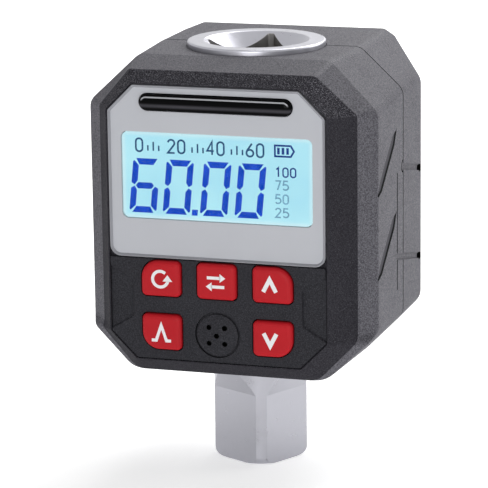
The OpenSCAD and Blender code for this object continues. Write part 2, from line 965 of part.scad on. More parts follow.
// Inner rings of the bezel at its floor and at its shoulder
inner_side_in = 0.3;
inner_top_in = 0.8;
inner_low_in = 0.4;
inner_slant_in = 0.7;
function bezel_floor_ring() =
    let (top_cut = cut_after([rim_top_cut, rim_top_cut], inner_side_in, inner_top_in, inner_slant_in))
    let (low_cut = cut_after([rim_low_cut, rim_low_cut], inner_side_in, inner_low_in, inner_slant_in))
    ring(
        rim_half - inner_side_in, plate_top + rim_step - inner_top_in, panel_low - rim_step + inner_low_in,
        top_cut, low_cut, floor_y, floor_y, floor_y
    );
function bezel_back_ring(shift) =
    let (wall = bezel_side_wall)
    let (top_cut = cut_after(shoulder_top_corner, wall, bezel_top_wall, wall))
    let (low_cut = cut_after(shoulder_low_corner, wall, bezel_low_wall, wall))
    ring(
        shoulder_half - wall,
        case_top - shoulder_top_in - bezel_top_wall,
        case_low + shoulder_low_in + bezel_low_wall,
        top_cut, low_cut,
        rim_y + bezel_side_d + shift,
        rim_y + bezel_top_d + shift,
        rim_y + bezel_low_d + shift
    );
sound_port_in = 0.9;
sound_port_r = grille_r - sound_port_in;
// Places of the board screws, in from the edges of the faceplate and the panel
top_screw_in = [3.45, 3.55];
low_screw_in = [2.5, 4.4];
board_screw_places = [
    [-(plate_half - top_screw_in.x), plate_top - top_screw_in.y],
    [plate_half - top_screw_in.x, plate_top - top_screw_in.y],
    [-(plate_half - low_screw_in.x), panel_low + low_screw_in.y],
    [plate_half - low_screw_in.x, panel_low + low_screw_in.y]
];
board_head_d = 2.6;
boss_r = 1.35;
board_room = 3.15;
board_front = floor_y + board_room;
board_t = 1.6;
board_back = board_front + board_t;
module at_board_screws() {
    for (p = board_screw_places)
        translate([p.x, 0, p.y])
            children();
}
module skirt_outline(inset) {
    polygon([for (p = shoulder_ring(inset, 0)) [p.x, p.z]]);
}
module front_bezel() {
    skirt_out = case_wall + fit_gap;
    skirt_start = rim_y + bezel_top_d;
    color(bezel_colour)
        difference() {
            union() {
                difference() {
                    loft([rim_ring(), shoulder_ring(0, 0)]);
                    loft([bezel_floor_ring(), bezel_back_ring(0), bezel_back_ring(4 * over)]);
                }
                along_y(skirt_start - skirt_t / 2, skirt_start + skirt_len + skirt_t)
                    difference() {
                        skirt_outline(skirt_out);
                        skirt_outline(skirt_out + skirt_t);
                    }
                at_board_screws()
                    rod_y(2 * boss_r, floor_y - floor_t / 2, board_front);
            }
            along_y(rim_y - over, seat_y)
                recess_outline();
            along_y(seat_y - over, floor_y + over) {
                window_outline(fit_gap);
                bar_outline(fit_gap);
                all_keys_outline(key_gap);
                translate([0, grille_z])
                    circle(r = sound_port_r);
            }
            at_board_screws()
                rod_y(small_screw_d + fit_gap, floor_y - floor_t / 4, board_front + over);
        }
}

module display_window() {
    color("#bfe9f5")
        along_y(rim_y + play, seat_y)
            window_outline(0);
}

// Display stack behind the window
glass_ledge = 1.2;
glass_low_ledge = 2.6;
rear_glass_t = 1;
light_t = board_front - floor_y - play - rear_glass_t;
module lcd_glass() {
    color("#a9e2f2") {
        union() {
            along_y(seat_y, floor_y + play)
                window_outline(0);
            along_y(floor_y + play, floor_y + play + rear_glass_t)
                translate([-window_w / 2 - glass_ledge, window_z - window_h / 2 - glass_low_ledge])
                    square([window_w + 2 * glass_ledge, window_h + glass_ledge + glass_low_ledge]);
        }
    }
}
module lcd_backlight() {
    color("#f2f6f7")
        along_y(board_front - light_t, board_front)
            translate([-window_w / 2, window_z - window_h / 2])
                square([window_w, window_h]);
}
module zebra_strip() {
    strip_h = 1.8;
    color("#26262a")
        along_y(board_front - light_t, board_front)
            translate([-window_w / 2, window_z - window_h / 2 - glass_low_ledge + fit_gap])
                square([window_w, strip_h]);
}
module lcd_frame() {
    frame_wall = 0.8;
    in_w = window_w + 2 * glass_ledge + 2 * fit_gap;
    in_h = window_h + glass_ledge + glass_low_ledge + 2 * fit_gap;
    low = window_z - window_h / 2 - glass_low_ledge - fit_gap;
    color("#e6e6e6")
        along_y(floor_y + play, board_front)
            difference() {
                translate([-in_w / 2 - frame_wall, low - frame_wall])
                    square([in_w + 2 * frame_wall, in_h + 2 * frame_wall]);
                translate([-in_w / 2, low])
                    square([in_w, in_h]);
            }
}

// Light bar over the faceplate
bar_flange = 0.7;
bar_flange_t = 0.8;
module light_bar_lens() {
    bulge_r = (pow(bar_h / 2, 2) + pow(bar_proud, 2)) / (2 * bar_proud);
    color("#101012")
        union() {
            along_y(rim_y, floor_y + play)
                bar_outline(0);
            along_y(floor_y + play, floor_y + play + bar_flange_t)
                bar_outline(bar_flange);
            intersection() {
                along_y(rim_y - bar_proud, rim_y + play)
                    bar_outline(0);
                translate([-bar_w / 2, rim_y - bar_proud + bulge_r, bar_z])
                    rotate([0, 90, 0])
                        cylinder(r = bulge_r, h = bar_w);
            }
        }
}
led_w = 2;
led_h = 1.2;
led_t = 0.9;
led_step_share = 0.33;
module indicator_leds() {
    color("#f6f2d8")
        for (x = [-1, 0, 1])
            translate([x * bar_w * led_step_share - led_w / 2, board_front - led_t, bar_z - led_h / 2])
                cube([led_w, led_t, led_h]);
}

// Main circuit board
board_in = [0.1, 1.4];
board_drop = 0.3;
board_half = plate_half - board_in.x;
board_top = plate_top - board_in.y;
board_low = panel_low - board_drop;
module main_board() {
    color(board_colour)
        difference() {
            along_y(board_front, board_back)
                polygon([
                    [-board_half, board_top - plate_cut],
                    [-(board_half - plate_cut), board_top],
                    [board_half - plate_cut, board_top],
                    [board_half, board_top - plate_cut],
                    [board_half, board_low + panel_cut],
                    [board_half - panel_cut, board_low],
                    [-(board_half - panel_cut), board_low],
                    [-board_half, board_low + panel_cut]
                ]);
            at_board_screws()
                rod_y(small_screw_d + 2 * fit_gap, board_front - over, board_back + over);
        }
}
// Chips on the back of the board, as sideways place, place above the middle, width and height
chip_t = 1;
chips = [
    [-6.5, 12.3, 7, 7],
    [6, 14.3, 5, 4],
    [-7, -0.7, 4, 5],
    [7.5, 3.3, 3, 3]
];
module board_chips() {
    color("#1b1b1d")
        for (c = chips)
            translate([c[0] - c[2] / 2, board_back, case_mid + c[1] - c[3] / 2])
                cube([c[2], chip_t, c[3]]);
}

// Screw with a cross recess, head at the origin, shank along -Y
recess_length_share = 0.6;
recess_width_share = 0.14;
recess_floor_share = 0.45;
module cross_screw(d, head_d, head_h, len) {
    recess_l = head_d * recess_length_share;
    recess_w = head_d * recess_width_share;
    difference() {
        union() {
            rod_y(head_d, 0, head_h);
            rod_y(d, -len, head_h / 4);
        }
        for (turn = [0, 90])
            rotate([0, turn, 0])
                translate([-recess_l / 2, head_h * recess_floor_share, -recess_w / 2])
                    cube([recess_l, head_h, recess_w]);
    }
}
board_screw_reach = 2.2;
module board_screws() {
    color("#9a9a9e")
        at_board_screws()
            translate([0, board_back, 0])
                cross_screw(small_screw_d, board_head_d, small_head_h, board_t + board_screw_reach);
}

// Keys, each with a stop flange behind the bezel floor
key_flange = 0.7;
key_flange_t = 0.65;
key_top_round = 0.45;
key_top_share = 0.8;
flange_front = floor_y + play;
flange_back = flange_front + key_flange_t;
switch_w = 3.4;
switch_t = 1.25;
plunger_d = 1.8;
switch_front = board_front - switch_t;
module key_cap(k) {
    front = rim_y - key_proud;
    color(key_colour)
        translate([k[0], 0, k[1]])
            union() {
                along_y(front + key_top_round, flange_front + weld)
                    key_outline(0, k[2], k[3]);
                hull() {
                    along_y(front + key_top_round, front + key_top_round + play)
                        key_outline(0, k[2], k[3], $fn = 32);
                    along_y(front, front + play)
                        key_outline(-key_top_round * key_top_share, k[2], k[3], $fn = 32);
                }
                along_y(flange_front, flange_back)
                    key_outline(key_flange, k[2], k[3]);
            }
}
module key_clear() {
    key_cap(KEY_CLEAR);
}
module key_unit() {
    key_cap(KEY_UNIT);
}
module key_up() {
    key_cap(KEY_UP);
}
module key_mode() {
    key_cap(KEY_MODE);
}
module key_down() {
    key_cap(KEY_DOWN);
}

// Tactile switches under the keys
plunger_in = 0.6;
module plunger(k) {
    color("#2a2a2c")
        translate([k[0], 0, k[1]])
            rod_y(plunger_d, flange_back, switch_front + plunger_in);
}
module plunger_clear() {
    plunger(KEY_CLEAR);
}
module plunger_unit() {
    plunger(KEY_UNIT);
}
module plunger_up() {
    plunger(KEY_UP);
}
module plunger_mode() {
    plunger(KEY_MODE);
}
module plunger_down() {
    plunger(KEY_DOWN);
}
module tact_switches() {
    color("#c8c8cc")
        for (k = KEYS)
            translate([k[0], 0, k[1]])
                difference() {
                    translate([-switch_w / 2, switch_front, -switch_w / 2])
                        cube([switch_w, switch_t, switch_w]);
                    rod_y(plunger_d + 2 * slide_gap, switch_front - over, switch_front + plunger_in + key_travel + play);
                }
}

// Buzzer and its grille
buzzer_d = 7.2;
module buzzer() {
    port_d = 1.8;
    color("#18181a")
        translate([0, 0, grille_z])
            difference() {
                rod_y(buzzer_d, floor_y + play, board_front);
                rod_y(port_d, floor_y - over, floor_y + port_d);
            }
}
module buzzer_grille() {
    dome_r = (pow(grille_r, 2) + pow(grille_proud, 2)) / (2 * grille_proud);
    color(bezel_colour)
        translate([0, 0, grille_z])
            difference() {
                union() {
                    rod_y(grille_d, rim_y, seat_y);
                    intersection() {
                        rod_y(grille_d, rim_y - grille_proud - over, rim_y + play);
                        translate([0, rim_y - grille_proud + dome_r, 0])
                            sphere(r = dome_r, $fn = 360);
                    }
                }
                for (p = [[0, 0], [-1, -1], [1, -1], [-1, 1], [1, 1]])
                    translate([p.x * sound_hole_pitch, 0, p.y * sound_hole_pitch])
                        rod_y(sound_hole_d, rim_y - grille_proud - over, seat_y + over);
            }
}

// Plug and leads of the strain gauges
plug_w = 6;
plug_h = 3;
plug_t = 3;
plug_rise = 5;
plug_z = collar_top + plug_rise;
module sensor_plug() {
    color("#efe9d6")
        translate([-plug_w / 2, board_back, plug_z - plug_h / 2])
            cube([plug_w, plug_t, plug_h]);
}
lead_d = 0.8;
lead_pitch = 1.1;
lead_gap = 0.12;
module sensor_leads() {
    start = [0, -neck_r - gauge_t - lead_gap, gauge_z - gauge_h / 4];
    finish = [0, board_back + plug_t + lead_gap, plug_z];
    bend = 12;
    path = [
        for (i = [0 : bend])
            let (s = i / bend)
            let (ease = s * s * (3 - 2 * s))
            [0, start.y + (finish.y - start.y) * s, start.z + (finish.z - start.z) * ease]
    ];
    color("#c03030")
        for (n = [-1.5, -0.5, 0.5, 1.5])
            translate([n * lead_pitch, 0, 0])
                tube(path, lead_d / 2, 8, [1, 0, 0]);
}

// Battery holder with two open troughs
cell_low = case_mid - cell_len / 2;
trough_r = cell_r + 2 * fit_gap;
trough_floor = 0.3;
holder_front = cell_y - trough_r - trough_floor;
holder_back = case_back - case_wall - fit_gap;
holder_low = cell_low - end_gap - end_wall;
module battery_holder() {
    color("#2c2c30")
        difference() {
            translate([-holder_half, holder_front, holder_low])
                cube([2 * holder_half, holder_back - holder_front, holder_h]);
            for (x = [-cell_x, cell_x])
                translate([x, cell_y, cell_low - end_gap]) {
                    cylinder(r = trough_r, h = cell_len + 2 * end_gap);
                    translate([-trough_r, 0, 0])
                        cube([2 * trough_r, case_back, cell_len + 2 * end_gap]);
                }
            translate([0, 0, collar_top - over])
                cylinder(r = head_r + free_gap, h = case_h);
            translate([0, 0, case_top - case_wall - seal_t - free_gap])
                cylinder(r = head_r + seal_w + free_gap, h = case_h);
            translate([0, 0, holder_low - over])
                cylinder(r = collar_d / 2 + free_gap, h = collar_top);
            for (z = door_screw_z)
                translate([0, 0, z])
                    rod_y(small_screw_d + fit_gap, holder_back - door_screw_len, holder_back + over);
        }
}

module cell(x) {
    nub_d = 3.8;
    nub_h = 0.6;
    flip = x > 0 ? 180 : 0;
    color("#3a7d44")
        translate([x, cell_y, case_mid])
            rotate([flip, 0, 0])
                translate([0, 0, -cell_len / 2])
                    union() {
                        cylinder(d = cell_d, h = cell_len - nub_h);
                        cylinder(d = nub_d, h = cell_len);
                    }
}
module battery_left() {
    cell(-cell_x);
}
module battery_right() {
    cell(cell_x);
}

contact_t = 0.3;
contact_w = 7;
// Conical springs, wide at the contact and narrow at the cell
cell_spring_d = 7;
cell_spring_tip_d = 2.8;
cell_wire_d = 0.35;
cell_spring_turns = 2;
module battery_contacts() {
    inner_low = cell_low - end_gap;
    inner_top = cell_low + cell_len + end_gap;
    color(brass_colour)
        for (x = [-cell_x, cell_x])
            for (z = [inner_low, inner_top - contact_t])
                translate([x - contact_w / 2, cell_y - contact_w / 2, z])
                    cube([contact_w, contact_w, contact_t]);
}
module battery_springs() {
    spring_h = end_gap - contact_t;
    color("#c4c4c8")
        for (side = [-1, 1])
            translate([side * cell_x, cell_y, case_mid])
                mirror([0, 0, side < 0 ? 0 : 1])
                    translate([0, 0, -cell_len / 2 - spring_h])
                        coil(cell_spring_d, cell_spring_tip_d, cell_wire_d, spring_h, cell_spring_turns);
}

// Leads from the cells to the board
supply_x = holder_half + lead_d / 2 + play;
supply_rise = 15;
supply_back = 3;
supply_z = cell_low + supply_rise;
module battery_leads() {
    bend = 12;
    color("#a02020")
        for (side = [-1, 1]) {
            start = [side * supply_x, holder_front + supply_back, supply_z];
            finish = [side * (board_half - supply_back), board_back + lead_gap, supply_z + supply_back];
            path = [
                for (i = [0 : bend])
                    let (s = i / bend)
                    let (ease = s * s * (3 - 2 * s))
                    [
                        start.x + (finish.x - start.x) * ease,
                        start.y + (finish.y - start.y) * s,
                        start.z + (finish.z - start.z) * ease
                    ]
            ];
            tube(path, lead_d / 2, 8, [0, 0, 1]);
        }
}

module battery_door() {
    color(shell_colour)
        difference() {
            along_y(case_back - door_t, case_back)
                door_outline(0);
            for (z = door_screw_z)
                translate([0, 0, z]) {
                    rod_y(small_screw_d + 2 * fit_gap, case_back - door_t - over, case_back + over);
                    rod_y(small_head_d + 2 * fit_gap, case_back - small_head_h / 2, case_back + over);
                }
        }
}
pad_w = 5;
pad_h = 28;
module door_pad() {
    color("#47474b")
        for (x = [-cell_x, cell_x])
            translate([x - pad_w / 2, cell_y + cell_r + fit_gap, case_mid - pad_h / 2])
                cube([pad_w, cell_room - fit_gap, pad_h]);
}
module door_screws() {
    color("#9a9a9e")
        for (z = door_screw_z)
            translate([0, case_back - small_head_h / 2, z])
                cross_screw(small_screw_d, small_head_d, small_head_h / 2, door_screw_len);
}
module shell_screws() {
    color("#8a8a8e")
        at_pillars()
            translate([0, screw_seat_y, 0])
                cross_screw(screw_d, screw_head_d, screw_head_h, screw_len);
}

transducer_body();
detent_ball();
detent_spring();
strain_gauges();
top_seal();
bottom_seal();
front_shell();
rear_shell();
front_bezel();
faceplate();
keypad_panel();
display_window();
lcd_glass();
lcd_backlight();
lcd_frame();
zebra_strip();
light_bar_lens();
indicator_leds();
main_board();
board_chips();
board_screws();
tact_switches();
key_clear();
key_unit();
key_up();
key_mode();
key_down();
plunger_clear();
plunger_unit();
plunger_up();
plunger_mode();
plunger_down();
buzzer();
buzzer_grille();
sensor_plug();
sensor_leads();
battery_leads();
battery_holder();
battery_left();
battery_right();
battery_contacts();
battery_springs();
battery_door();
door_pad();
door_screws();
shell_screws();
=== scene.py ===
import json
import math

import bmesh
import bpy
from mathutils import Matrix, Vector

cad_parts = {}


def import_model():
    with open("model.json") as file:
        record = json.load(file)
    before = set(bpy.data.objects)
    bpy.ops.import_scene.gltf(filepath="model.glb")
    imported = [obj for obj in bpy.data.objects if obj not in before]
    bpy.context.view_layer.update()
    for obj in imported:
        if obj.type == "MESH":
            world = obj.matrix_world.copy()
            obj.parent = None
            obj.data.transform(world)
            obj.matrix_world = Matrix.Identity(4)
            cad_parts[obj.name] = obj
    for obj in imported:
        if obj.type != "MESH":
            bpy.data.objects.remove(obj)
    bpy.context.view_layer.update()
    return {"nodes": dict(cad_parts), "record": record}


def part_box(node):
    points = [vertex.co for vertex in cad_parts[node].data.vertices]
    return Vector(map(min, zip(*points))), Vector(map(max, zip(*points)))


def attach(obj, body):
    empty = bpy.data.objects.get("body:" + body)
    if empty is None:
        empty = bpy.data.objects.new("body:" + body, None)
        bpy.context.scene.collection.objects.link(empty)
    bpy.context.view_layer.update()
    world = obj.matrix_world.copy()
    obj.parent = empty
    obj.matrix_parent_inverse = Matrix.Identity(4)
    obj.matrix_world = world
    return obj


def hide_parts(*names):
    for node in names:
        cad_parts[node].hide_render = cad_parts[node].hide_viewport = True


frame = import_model()

# Looks of a digital torque adapter. Shapes are written in millimetres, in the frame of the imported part:
# +Z runs up the drive axis and the display faces -Y.
MM = 0.001


def node_box(name):
    """Lowest and highest corner of a node in millimetres."""
    low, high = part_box(name)
    return low / MM, high / MM


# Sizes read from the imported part
shell_low, shell_high = node_box("front_shell")
back_low, back_high = node_box("rear_shell")
plate_box_low, plate_box_high = node_box("faceplate")
panel_box_low, panel_box_high = node_box("keypad_panel")
window_low, window_high = node_box("display_window")
bar_low, bar_high = node_box("light_bar_lens")
key_low, key_high = node_box("key_clear")
grille_low, grille_high = node_box("buzzer_grille")
head_low_corner, head_high_corner = node_box("transducer_body")
door_low, door_high = node_box("battery_door")

case_half = shell_high.x
case_low = shell_low.z
case_top = shell_high.z
case_mid = (case_low + case_top) / 2
case_back = back_high.y
parting = back_low.y
rim_y = plate_box_low.y
seat_y = plate_box_high.y
plate_half = plate_box_high.x
plate_top = plate_box_high.z
plate_low = plate_box_low.z
panel_low = panel_box_low.z
panel_top = panel_box_high.z
head_top = head_high_corner.z

# Sizes of the housing that the boxes don't give
case_wall = 1.8
top_corner = (7.5, 7.1)
low_corner = (7.5, 7.6)
side_set = 9.45
top_set = 11
# Where the edge of the front comes forward at the lower corners
edge_top_corner = (8.5, 8.1)
edge_low_corner = (8.2, 6.7)
edge_low_in = 0.55
edge_toe_in = 0.95
edge_toe_d = 6.7
edge_low_d = 5.6
edge_toe_rise = 1.5
flat_toe_rise = 2.2
rear_bevel_w = 6.5
rear_bevel_d = 7.5
plate_cut = 4.4
plate_r = 1.9
seam = 0.15
panel_cut = 4.5
floor_t = 1.2
rim_step = 0.3
bezel_spread = 3.45
bezel_side_d = 6.6
bezel_top_d = 3.8
bezel_toe_d = 5.6
bezel_low_d = 4.66
bezel_toe_rise = 0.8
shoulder_top_in = 1.4
shoulder_low_in = 0.75
floor_y = seat_y + floor_t
overrun = 1


# Outlines and solids

def rounded_corner(before, corner, after, radius, steps):
    """Arc of steps + 1 points that rounds a corner between its two neighbours."""
    a = (before - corner).normalized()
    b = (after - corner).normalized()
    middle = a + b
    if middle.length < 1e-5:
        return [corner + (b - a) * radius * (i / steps - 0.5) * 0.2 for i in range(steps + 1)]
    angle = a.angle(b)
    reach = radius / math.tan(angle / 2)
    centre = corner + middle.normalized() * radius / math.sin(angle / 2)
    start = corner + a * reach - centre
    end = corner + b * reach - centre
    sweep = math.pi - angle
    points = []
    for i in range(steps + 1):
        t = i / steps
        points.append(centre + (start * math.sin((1 - t) * sweep) + end * math.sin(t * sweep)) / math.sin(sweep))
    return points


def rounded_outline(corners, radii, steps=6):
    """Closed outline whose corners are rounded by their radii."""
    count = len(corners)
    points = []
    for i, corner in enumerate(corners):
        points += rounded_corner(corners[i - 1], corner, corners[(i + 1) % count], radii[i], steps)
    return points


def rounded_run(points, radii, steps=4):
    """Open row of points whose inner corners are rounded by their radii."""
    made = [points[0]]
    for i in range(1, len(points) - 1):
        made += rounded_corner(points[i - 1], points[i], points[i + 1], radii[i - 1], steps)
    return made + [points[-1]]


def flat(points, y):
    """Outline drawn in X and Z, laid at a depth."""
    return [Vector((p[0], y, p[1])) for p in points]


def circle(centre, radius, steps=32, start=0.0):
    return [
        Vector((centre[0] + radius * math.cos(start + math.tau * i / steps),
                centre[1] + radius * math.sin(start + math.tau * i / steps)))
        for i in range(steps)
    ]


def solid(rings, marked=(), marked_end=False):
    """Closed solid through rings of equal counts. Marked rows, or a marked far end, take the second material."""
    bm = bmesh.new()
    rows = [[bm.verts.new(p) for p in ring] for ring in rings]
    count = len(rows[0])
    for i, (here, there) in enumerate(zip(rows, rows[1:])):
        for k in range(count):
            n = (k + 1) % count
            face = bm.faces.new((here[k], here[n], there[n], there[k]))
            face.material_index = 1 if i in marked else 0
    bm.faces.new(rows[0][::-1])
    far_end = bm.faces.new(rows[-1])
    far_end.material_index = 1 if marked_end else 0
    bmesh.ops.recalc_face_normals(bm, faces=bm.faces)
    return bm


def prism(outline, near, far):
    """Outline of X and Z points extruded between two depths."""
    return solid([flat(outline, near), flat(outline, far)])


def turned(profile, steps=128, axis="Z", centre=(0, 0, 0)):
    """Solid of revolution from rows of radius and height, closed on the axis."""
    bm = bmesh.new()
    middle = Vector(centre)

    def place(r, h, i):
        x, y = r * math.cos(math.tau * i / steps), r * math.sin(math.tau * i / steps)
        return middle + (Vector((x, y, h)) if axis == "Z" else Vector((x, h, y)))

    rows = []
    for r, h in profile:
        if r == 0:
            rows.append([bm.verts.new(place(0, h, 0))] * steps)
        else:
            rows.append([bm.verts.new(place(r, h, i)) for i in range(steps)])
    for here, there in zip(rows, rows[1:]):
        for k in range(steps):
            n = (k + 1) % steps
            corners = list(dict.fromkeys((here[k], here[n], there[n], there[k])))
            if len(corners) > 2:
                bm.faces.new(corners)
    bmesh.ops.recalc_face_normals(bm, faces=bm.faces)
    return bm


def raw_object(name, bm):
    mesh = bpy.data.meshes.new(name)
    bm.to_mesh(mesh)
    bm.free()
    obj = bpy.data.objects.new(name, mesh)
    bpy.context.scene.collection.objects.link(obj)
    return obj


def bake_modifiers(obj):
    """Replaces an object's mesh by what its modifiers make of it."""
    depsgraph = bpy.context.evaluated_depsgraph_get()
    mesh = bpy.data.meshes.new_from_object(obj.evaluated_get(depsgraph))
    obj.modifiers.clear()
    old = obj.data
    obj.data = mesh
    bpy.data.meshes.remove(old)


def combine(obj, cutter_bm, operation="DIFFERENCE", material=None, second=None):
    """Cuts a solid from an object or joins it on. Cut faces can carry their own materials."""
    cutter = raw_object("cutter", cutter_bm)
    for one in (material, second):
        if one:
            cutter.data.materials.append(one)
    mod = obj.modifiers.new("cut", "BOOLEAN")
    mod.operation = operation
    mod.solver = "EXACT"
    mod.material_mode = "TRANSFER"
    mod.object = cutter
    bake_modifiers(obj)
    bpy.data.objects.remove(cutter)
    return obj


def finish_piece(obj, body, replaces=(), sharp_angle=32, bevel=0.0, bevel_angle=25):
    """Scales a piece to metres, rounds and shades its edges, and lets it ride on its body."""
    if bevel:
        mod = obj.modifiers.new("edge", "BEVEL")
        mod.width = bevel
        mod.segments = 2
        mod.limit_method = "ANGLE"
        mod.angle_limit = math.radians(bevel_angle)
        mod.use_clamp_overlap = False
        mod.harden_normals = False
        bake_modifiers(obj)
    obj.data.transform(Matrix.Scale(MM, 4))
    bm = bmesh.new()
    bm.from_mesh(obj.data)
    for edge in bm.edges:
        edge.smooth = edge.calc_face_angle(0) < math.radians(sharp_angle)
    for face in bm.faces:
        face.smooth = True
    bm.to_mesh(obj.data)
    bm.free()
    weighted = obj.modifiers.new("weighted", "WEIGHTED_NORMAL")
    weighted.keep_sharp = True
    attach(obj, body)
    if replaces:
        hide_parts(*replaces)
    return obj


def coloured(obj, material, second=None):
    """Puts a material in the first slot, and one for marked rows in the next."""
    if obj.data.materials:
        obj.data.materials[0] = material
    else:
        obj.data.materials.append(material)
    if second:
        obj.data.materials.append(second)
    return obj


# Shader groups

def new_group(name, inputs, outputs):
    group = bpy.data.node_groups.new(name, "ShaderNodeTree")
    for label, default in inputs:
        socket = group.interface.new_socket(label, in_out="INPUT", socket_type="NodeSocketFloat")
        socket.default_value = default
    for label in outputs:
        group.interface.new_socket(label, in_out="OUTPUT", socket_type="NodeSocketFloat")
    entry = group.nodes.new("NodeGroupInput")
    leave = group.nodes.new("NodeGroupOutput")
    return group, entry, leave


def add_noise(tree, vector, scale, detail, source=None):
    noise = tree.nodes.new("ShaderNodeTexNoise")
    noise.inputs["Scale"].default_value = scale
    noise.inputs["Detail"].default_value = detail
    tree.links.new(vector, noise.inputs["Vector"])
    if source:
        tree.links.new(source, noise.inputs["Scale"])
    return noise.outputs[0]


def add_math(tree, operation, a, b=0.0):
    node = tree.nodes.new("ShaderNodeMath")
    node.operation = operation
    for i, value in enumerate((a, b)):
        if isinstance(value, (int, float)):
            node.inputs[i].default_value = value
        else:
            tree.links.new(value, node.inputs[i])
    return node.outputs[0]


def add_range(tree, value, from_min, from_max, to_min=0.0, to_max=1.0, smooth=False):
    node = tree.nodes.new("ShaderNodeMapRange")
    node.interpolation_type = "SMOOTHSTEP" if smooth else "LINEAR"
    for i, number in enumerate((from_min, from_max, to_min, to_max)):
        node.inputs[i + 1].default_value = number
    tree.links.new(value, node.inputs[0])
    return node.outputs[0]


def add_mix(tree, factor, a, b):
    node = tree.nodes.new("ShaderNodeMix")
    node.data_type = "RGBA"
    if isinstance(factor, (int, float)):
        node.inputs[0].default_value = factor
    else:
        tree.links.new(factor, node.inputs[0])
    for i, value in ((6, a), (7, b)):
        if isinstance(value, tuple):
            node.inputs[i].default_value = value + (1,) if len(value) == 3 else value
        else:
            tree.links.new(value, node.inputs[i])
    return node.outputs[2]


def object_vector(tree):
    return tree.nodes.new("ShaderNodeTexCoord").outputs["Object"]


def make_spark_group():
    """Moulded spark texture: a height, flecks that catch light and a slow cloud."""
    group, entry, leave = new_group(
        "spark_texture", [("Grain per metre", 2600.0), ("Cloud per metre", 120.0)], ["Height", "Fleck", "Cloud"]
    )
    vector = object_vector(group)
    grain = add_noise(group, vector, 2600, 2, entry.outputs[0])
    fine = add_noise(group, vector, 5200, 1, add_math(group, "MULTIPLY", entry.outputs[0], 1.9))
    height = add_math(group, "ADD", grain, add_math(group, "MULTIPLY", fine, 0.5))
    fleck = add_range(group, fine, 0.55, 0.7, smooth=True)
    cloud = add_noise(group, vector, 120, 2, entry.outputs[1])
    for i, value in enumerate((height, fleck, cloud)):
        group.links.new(value, leave.inputs[i])
    return group


def make_brushed_group():
    """Fine turned or ground lines on steel, round the drive axis or along it."""
    group, entry, leave = new_group(
        "ground_steel", [("Lines per metre", 9000.0), ("Stretch", 0.03)], ["Height", "Mask"]
    )
    vector = object_vector(group)
    parts = group.nodes.new("ShaderNodeSeparateXYZ")
    group.links.new(vector, parts.inputs[0])
    joined = group.nodes.new("ShaderNodeCombineXYZ")
    for i in (0, 1):
        group.links.new(add_math(group, "MULTIPLY", parts.outputs[i], entry.outputs[1]), joined.inputs[i])
    group.links.new(parts.outputs[2], joined.inputs[2])
    lines = add_noise(group, joined.outputs[0], 9000, 2, entry.outputs[0])
    mottle = add_noise(group, vector, 700, 3)
    group.links.new(lines, leave.inputs[0])
    group.links.new(mottle, leave.inputs[1])
    return group


def make_fine_group():
    """Light unevenness of a smooth moulded or painted surface."""
    group, entry, leave = new_group("fine_unevenness", [("Grain per metre", 1500.0)], ["Height", "Cloud"])
    vector = object_vector(group)
    group.links.new(add_noise(group, vector, 1500, 3, entry.outputs[0]), leave.inputs[0])
    group.links.new(add_noise(group, vector, 90, 3), leave.inputs[1])
    return group


SPARK = make_spark_group()
GROUND = make_brushed_group()
FINE = make_fine_group()


# Materials

# Light bar in metres: how low its painted sheen band lies and half its width, and where its painted highlight line runs
sheen_drop = 0.0005
sheen_half = 0.0005
highlight_radius = 0.0009
highlight_half = 0.00014


def srgb(text):
    """Linear colour of a hex colour as it is seen on screen."""
    made = []
    for i in (0, 2, 4):
        c = int(text[i:i + 2], 16) / 255
        made.append(c / 12.92 if c <= 0.04045 else ((c + 0.055) / 1.055) ** 2.4)
    return tuple(made)


def shader(name, colour, roughness=0.5, metallic=0.0, specular=0.5, coat=0.0):
    """New material with its Principled shader set to plain values."""
    mat = bpy.data.materials.new(name)
    mat.use_nodes = True
    tree = mat.node_tree
    node = tree.nodes["Principled BSDF"]
    node.inputs["Base Color"].default_value = colour + (1,)
    node.inputs["Roughness"].default_value = roughness
    node.inputs["Metallic"].default_value = metallic
    node.inputs["Specular IOR Level"].default_value = specular
    node.inputs["Coat Weight"].default_value = coat
    mat.diffuse_color = colour + (1,)
    return mat, tree, node


def place_group(tree, group, **values):
    node = tree.nodes.new("ShaderNodeGroup")
    node.node_tree = group
    for label, value in values.items():
        node.inputs[label.replace("_", " ")].default_value = value
    return node


def add_bump(tree, node, height, strength, distance):
    bump = tree.nodes.new("ShaderNodeBump")
    bump.inputs["Strength"].default_value = strength
    bump.inputs["Distance"].default_value = distance
    tree.links.new(height, bump.inputs["Height"])
    tree.links.new(bump.outputs[0], node.inputs["Normal"])


def sparked_plastic(name, dark, light, roughness, strength, grain, glint_colour, glint_share, up_glint_share, specular=0.1):
    """Moulded plastic with a spark texture, painted shade in its pits and painted light on its tips, and painted glints
    on its flecks, most of all where it faces up.
    """
    mat, tree, node = shader(name, dark, roughness, specular=specular)
    spark = place_group(tree, SPARK, Grain_per_metre=grain)
    # Lighter tips and darker pits of the grain: painted light and painted shade
    lit_tips = add_range(tree, spark.outputs["Height"], 0.6, 0.9)
    slow = add_range(tree, spark.outputs["Cloud"], 0.3, 0.7, -0.12, 0.12)
    base = add_mix(tree, add_math(tree, "ADD", lit_tips, slow), dark, light)
    # Light flecks, more of them on faces turned up: painted glints
    facing = tree.nodes.new("ShaderNodeSeparateXYZ")
    tree.links.new(tree.nodes.new("ShaderNodeTexCoord").outputs["Normal"], facing.inputs[0])
    glint_by_facing = add_range(tree, facing.outputs[2], 0.1, 0.6, glint_share, up_glint_share, smooth=True)
    share = add_math(tree, "MULTIPLY", spark.outputs["Fleck"], glint_by_facing)
    tree.links.new(add_mix(tree, share, base, glint_colour), node.inputs["Base Color"])
    tree.links.new(add_range(tree, spark.outputs["Fleck"], 0, 1, roughness, roughness - 0.12), node.inputs["Roughness"])
    add_bump(tree, node, spark.outputs["Height"], strength, 0.00005)
    return mat


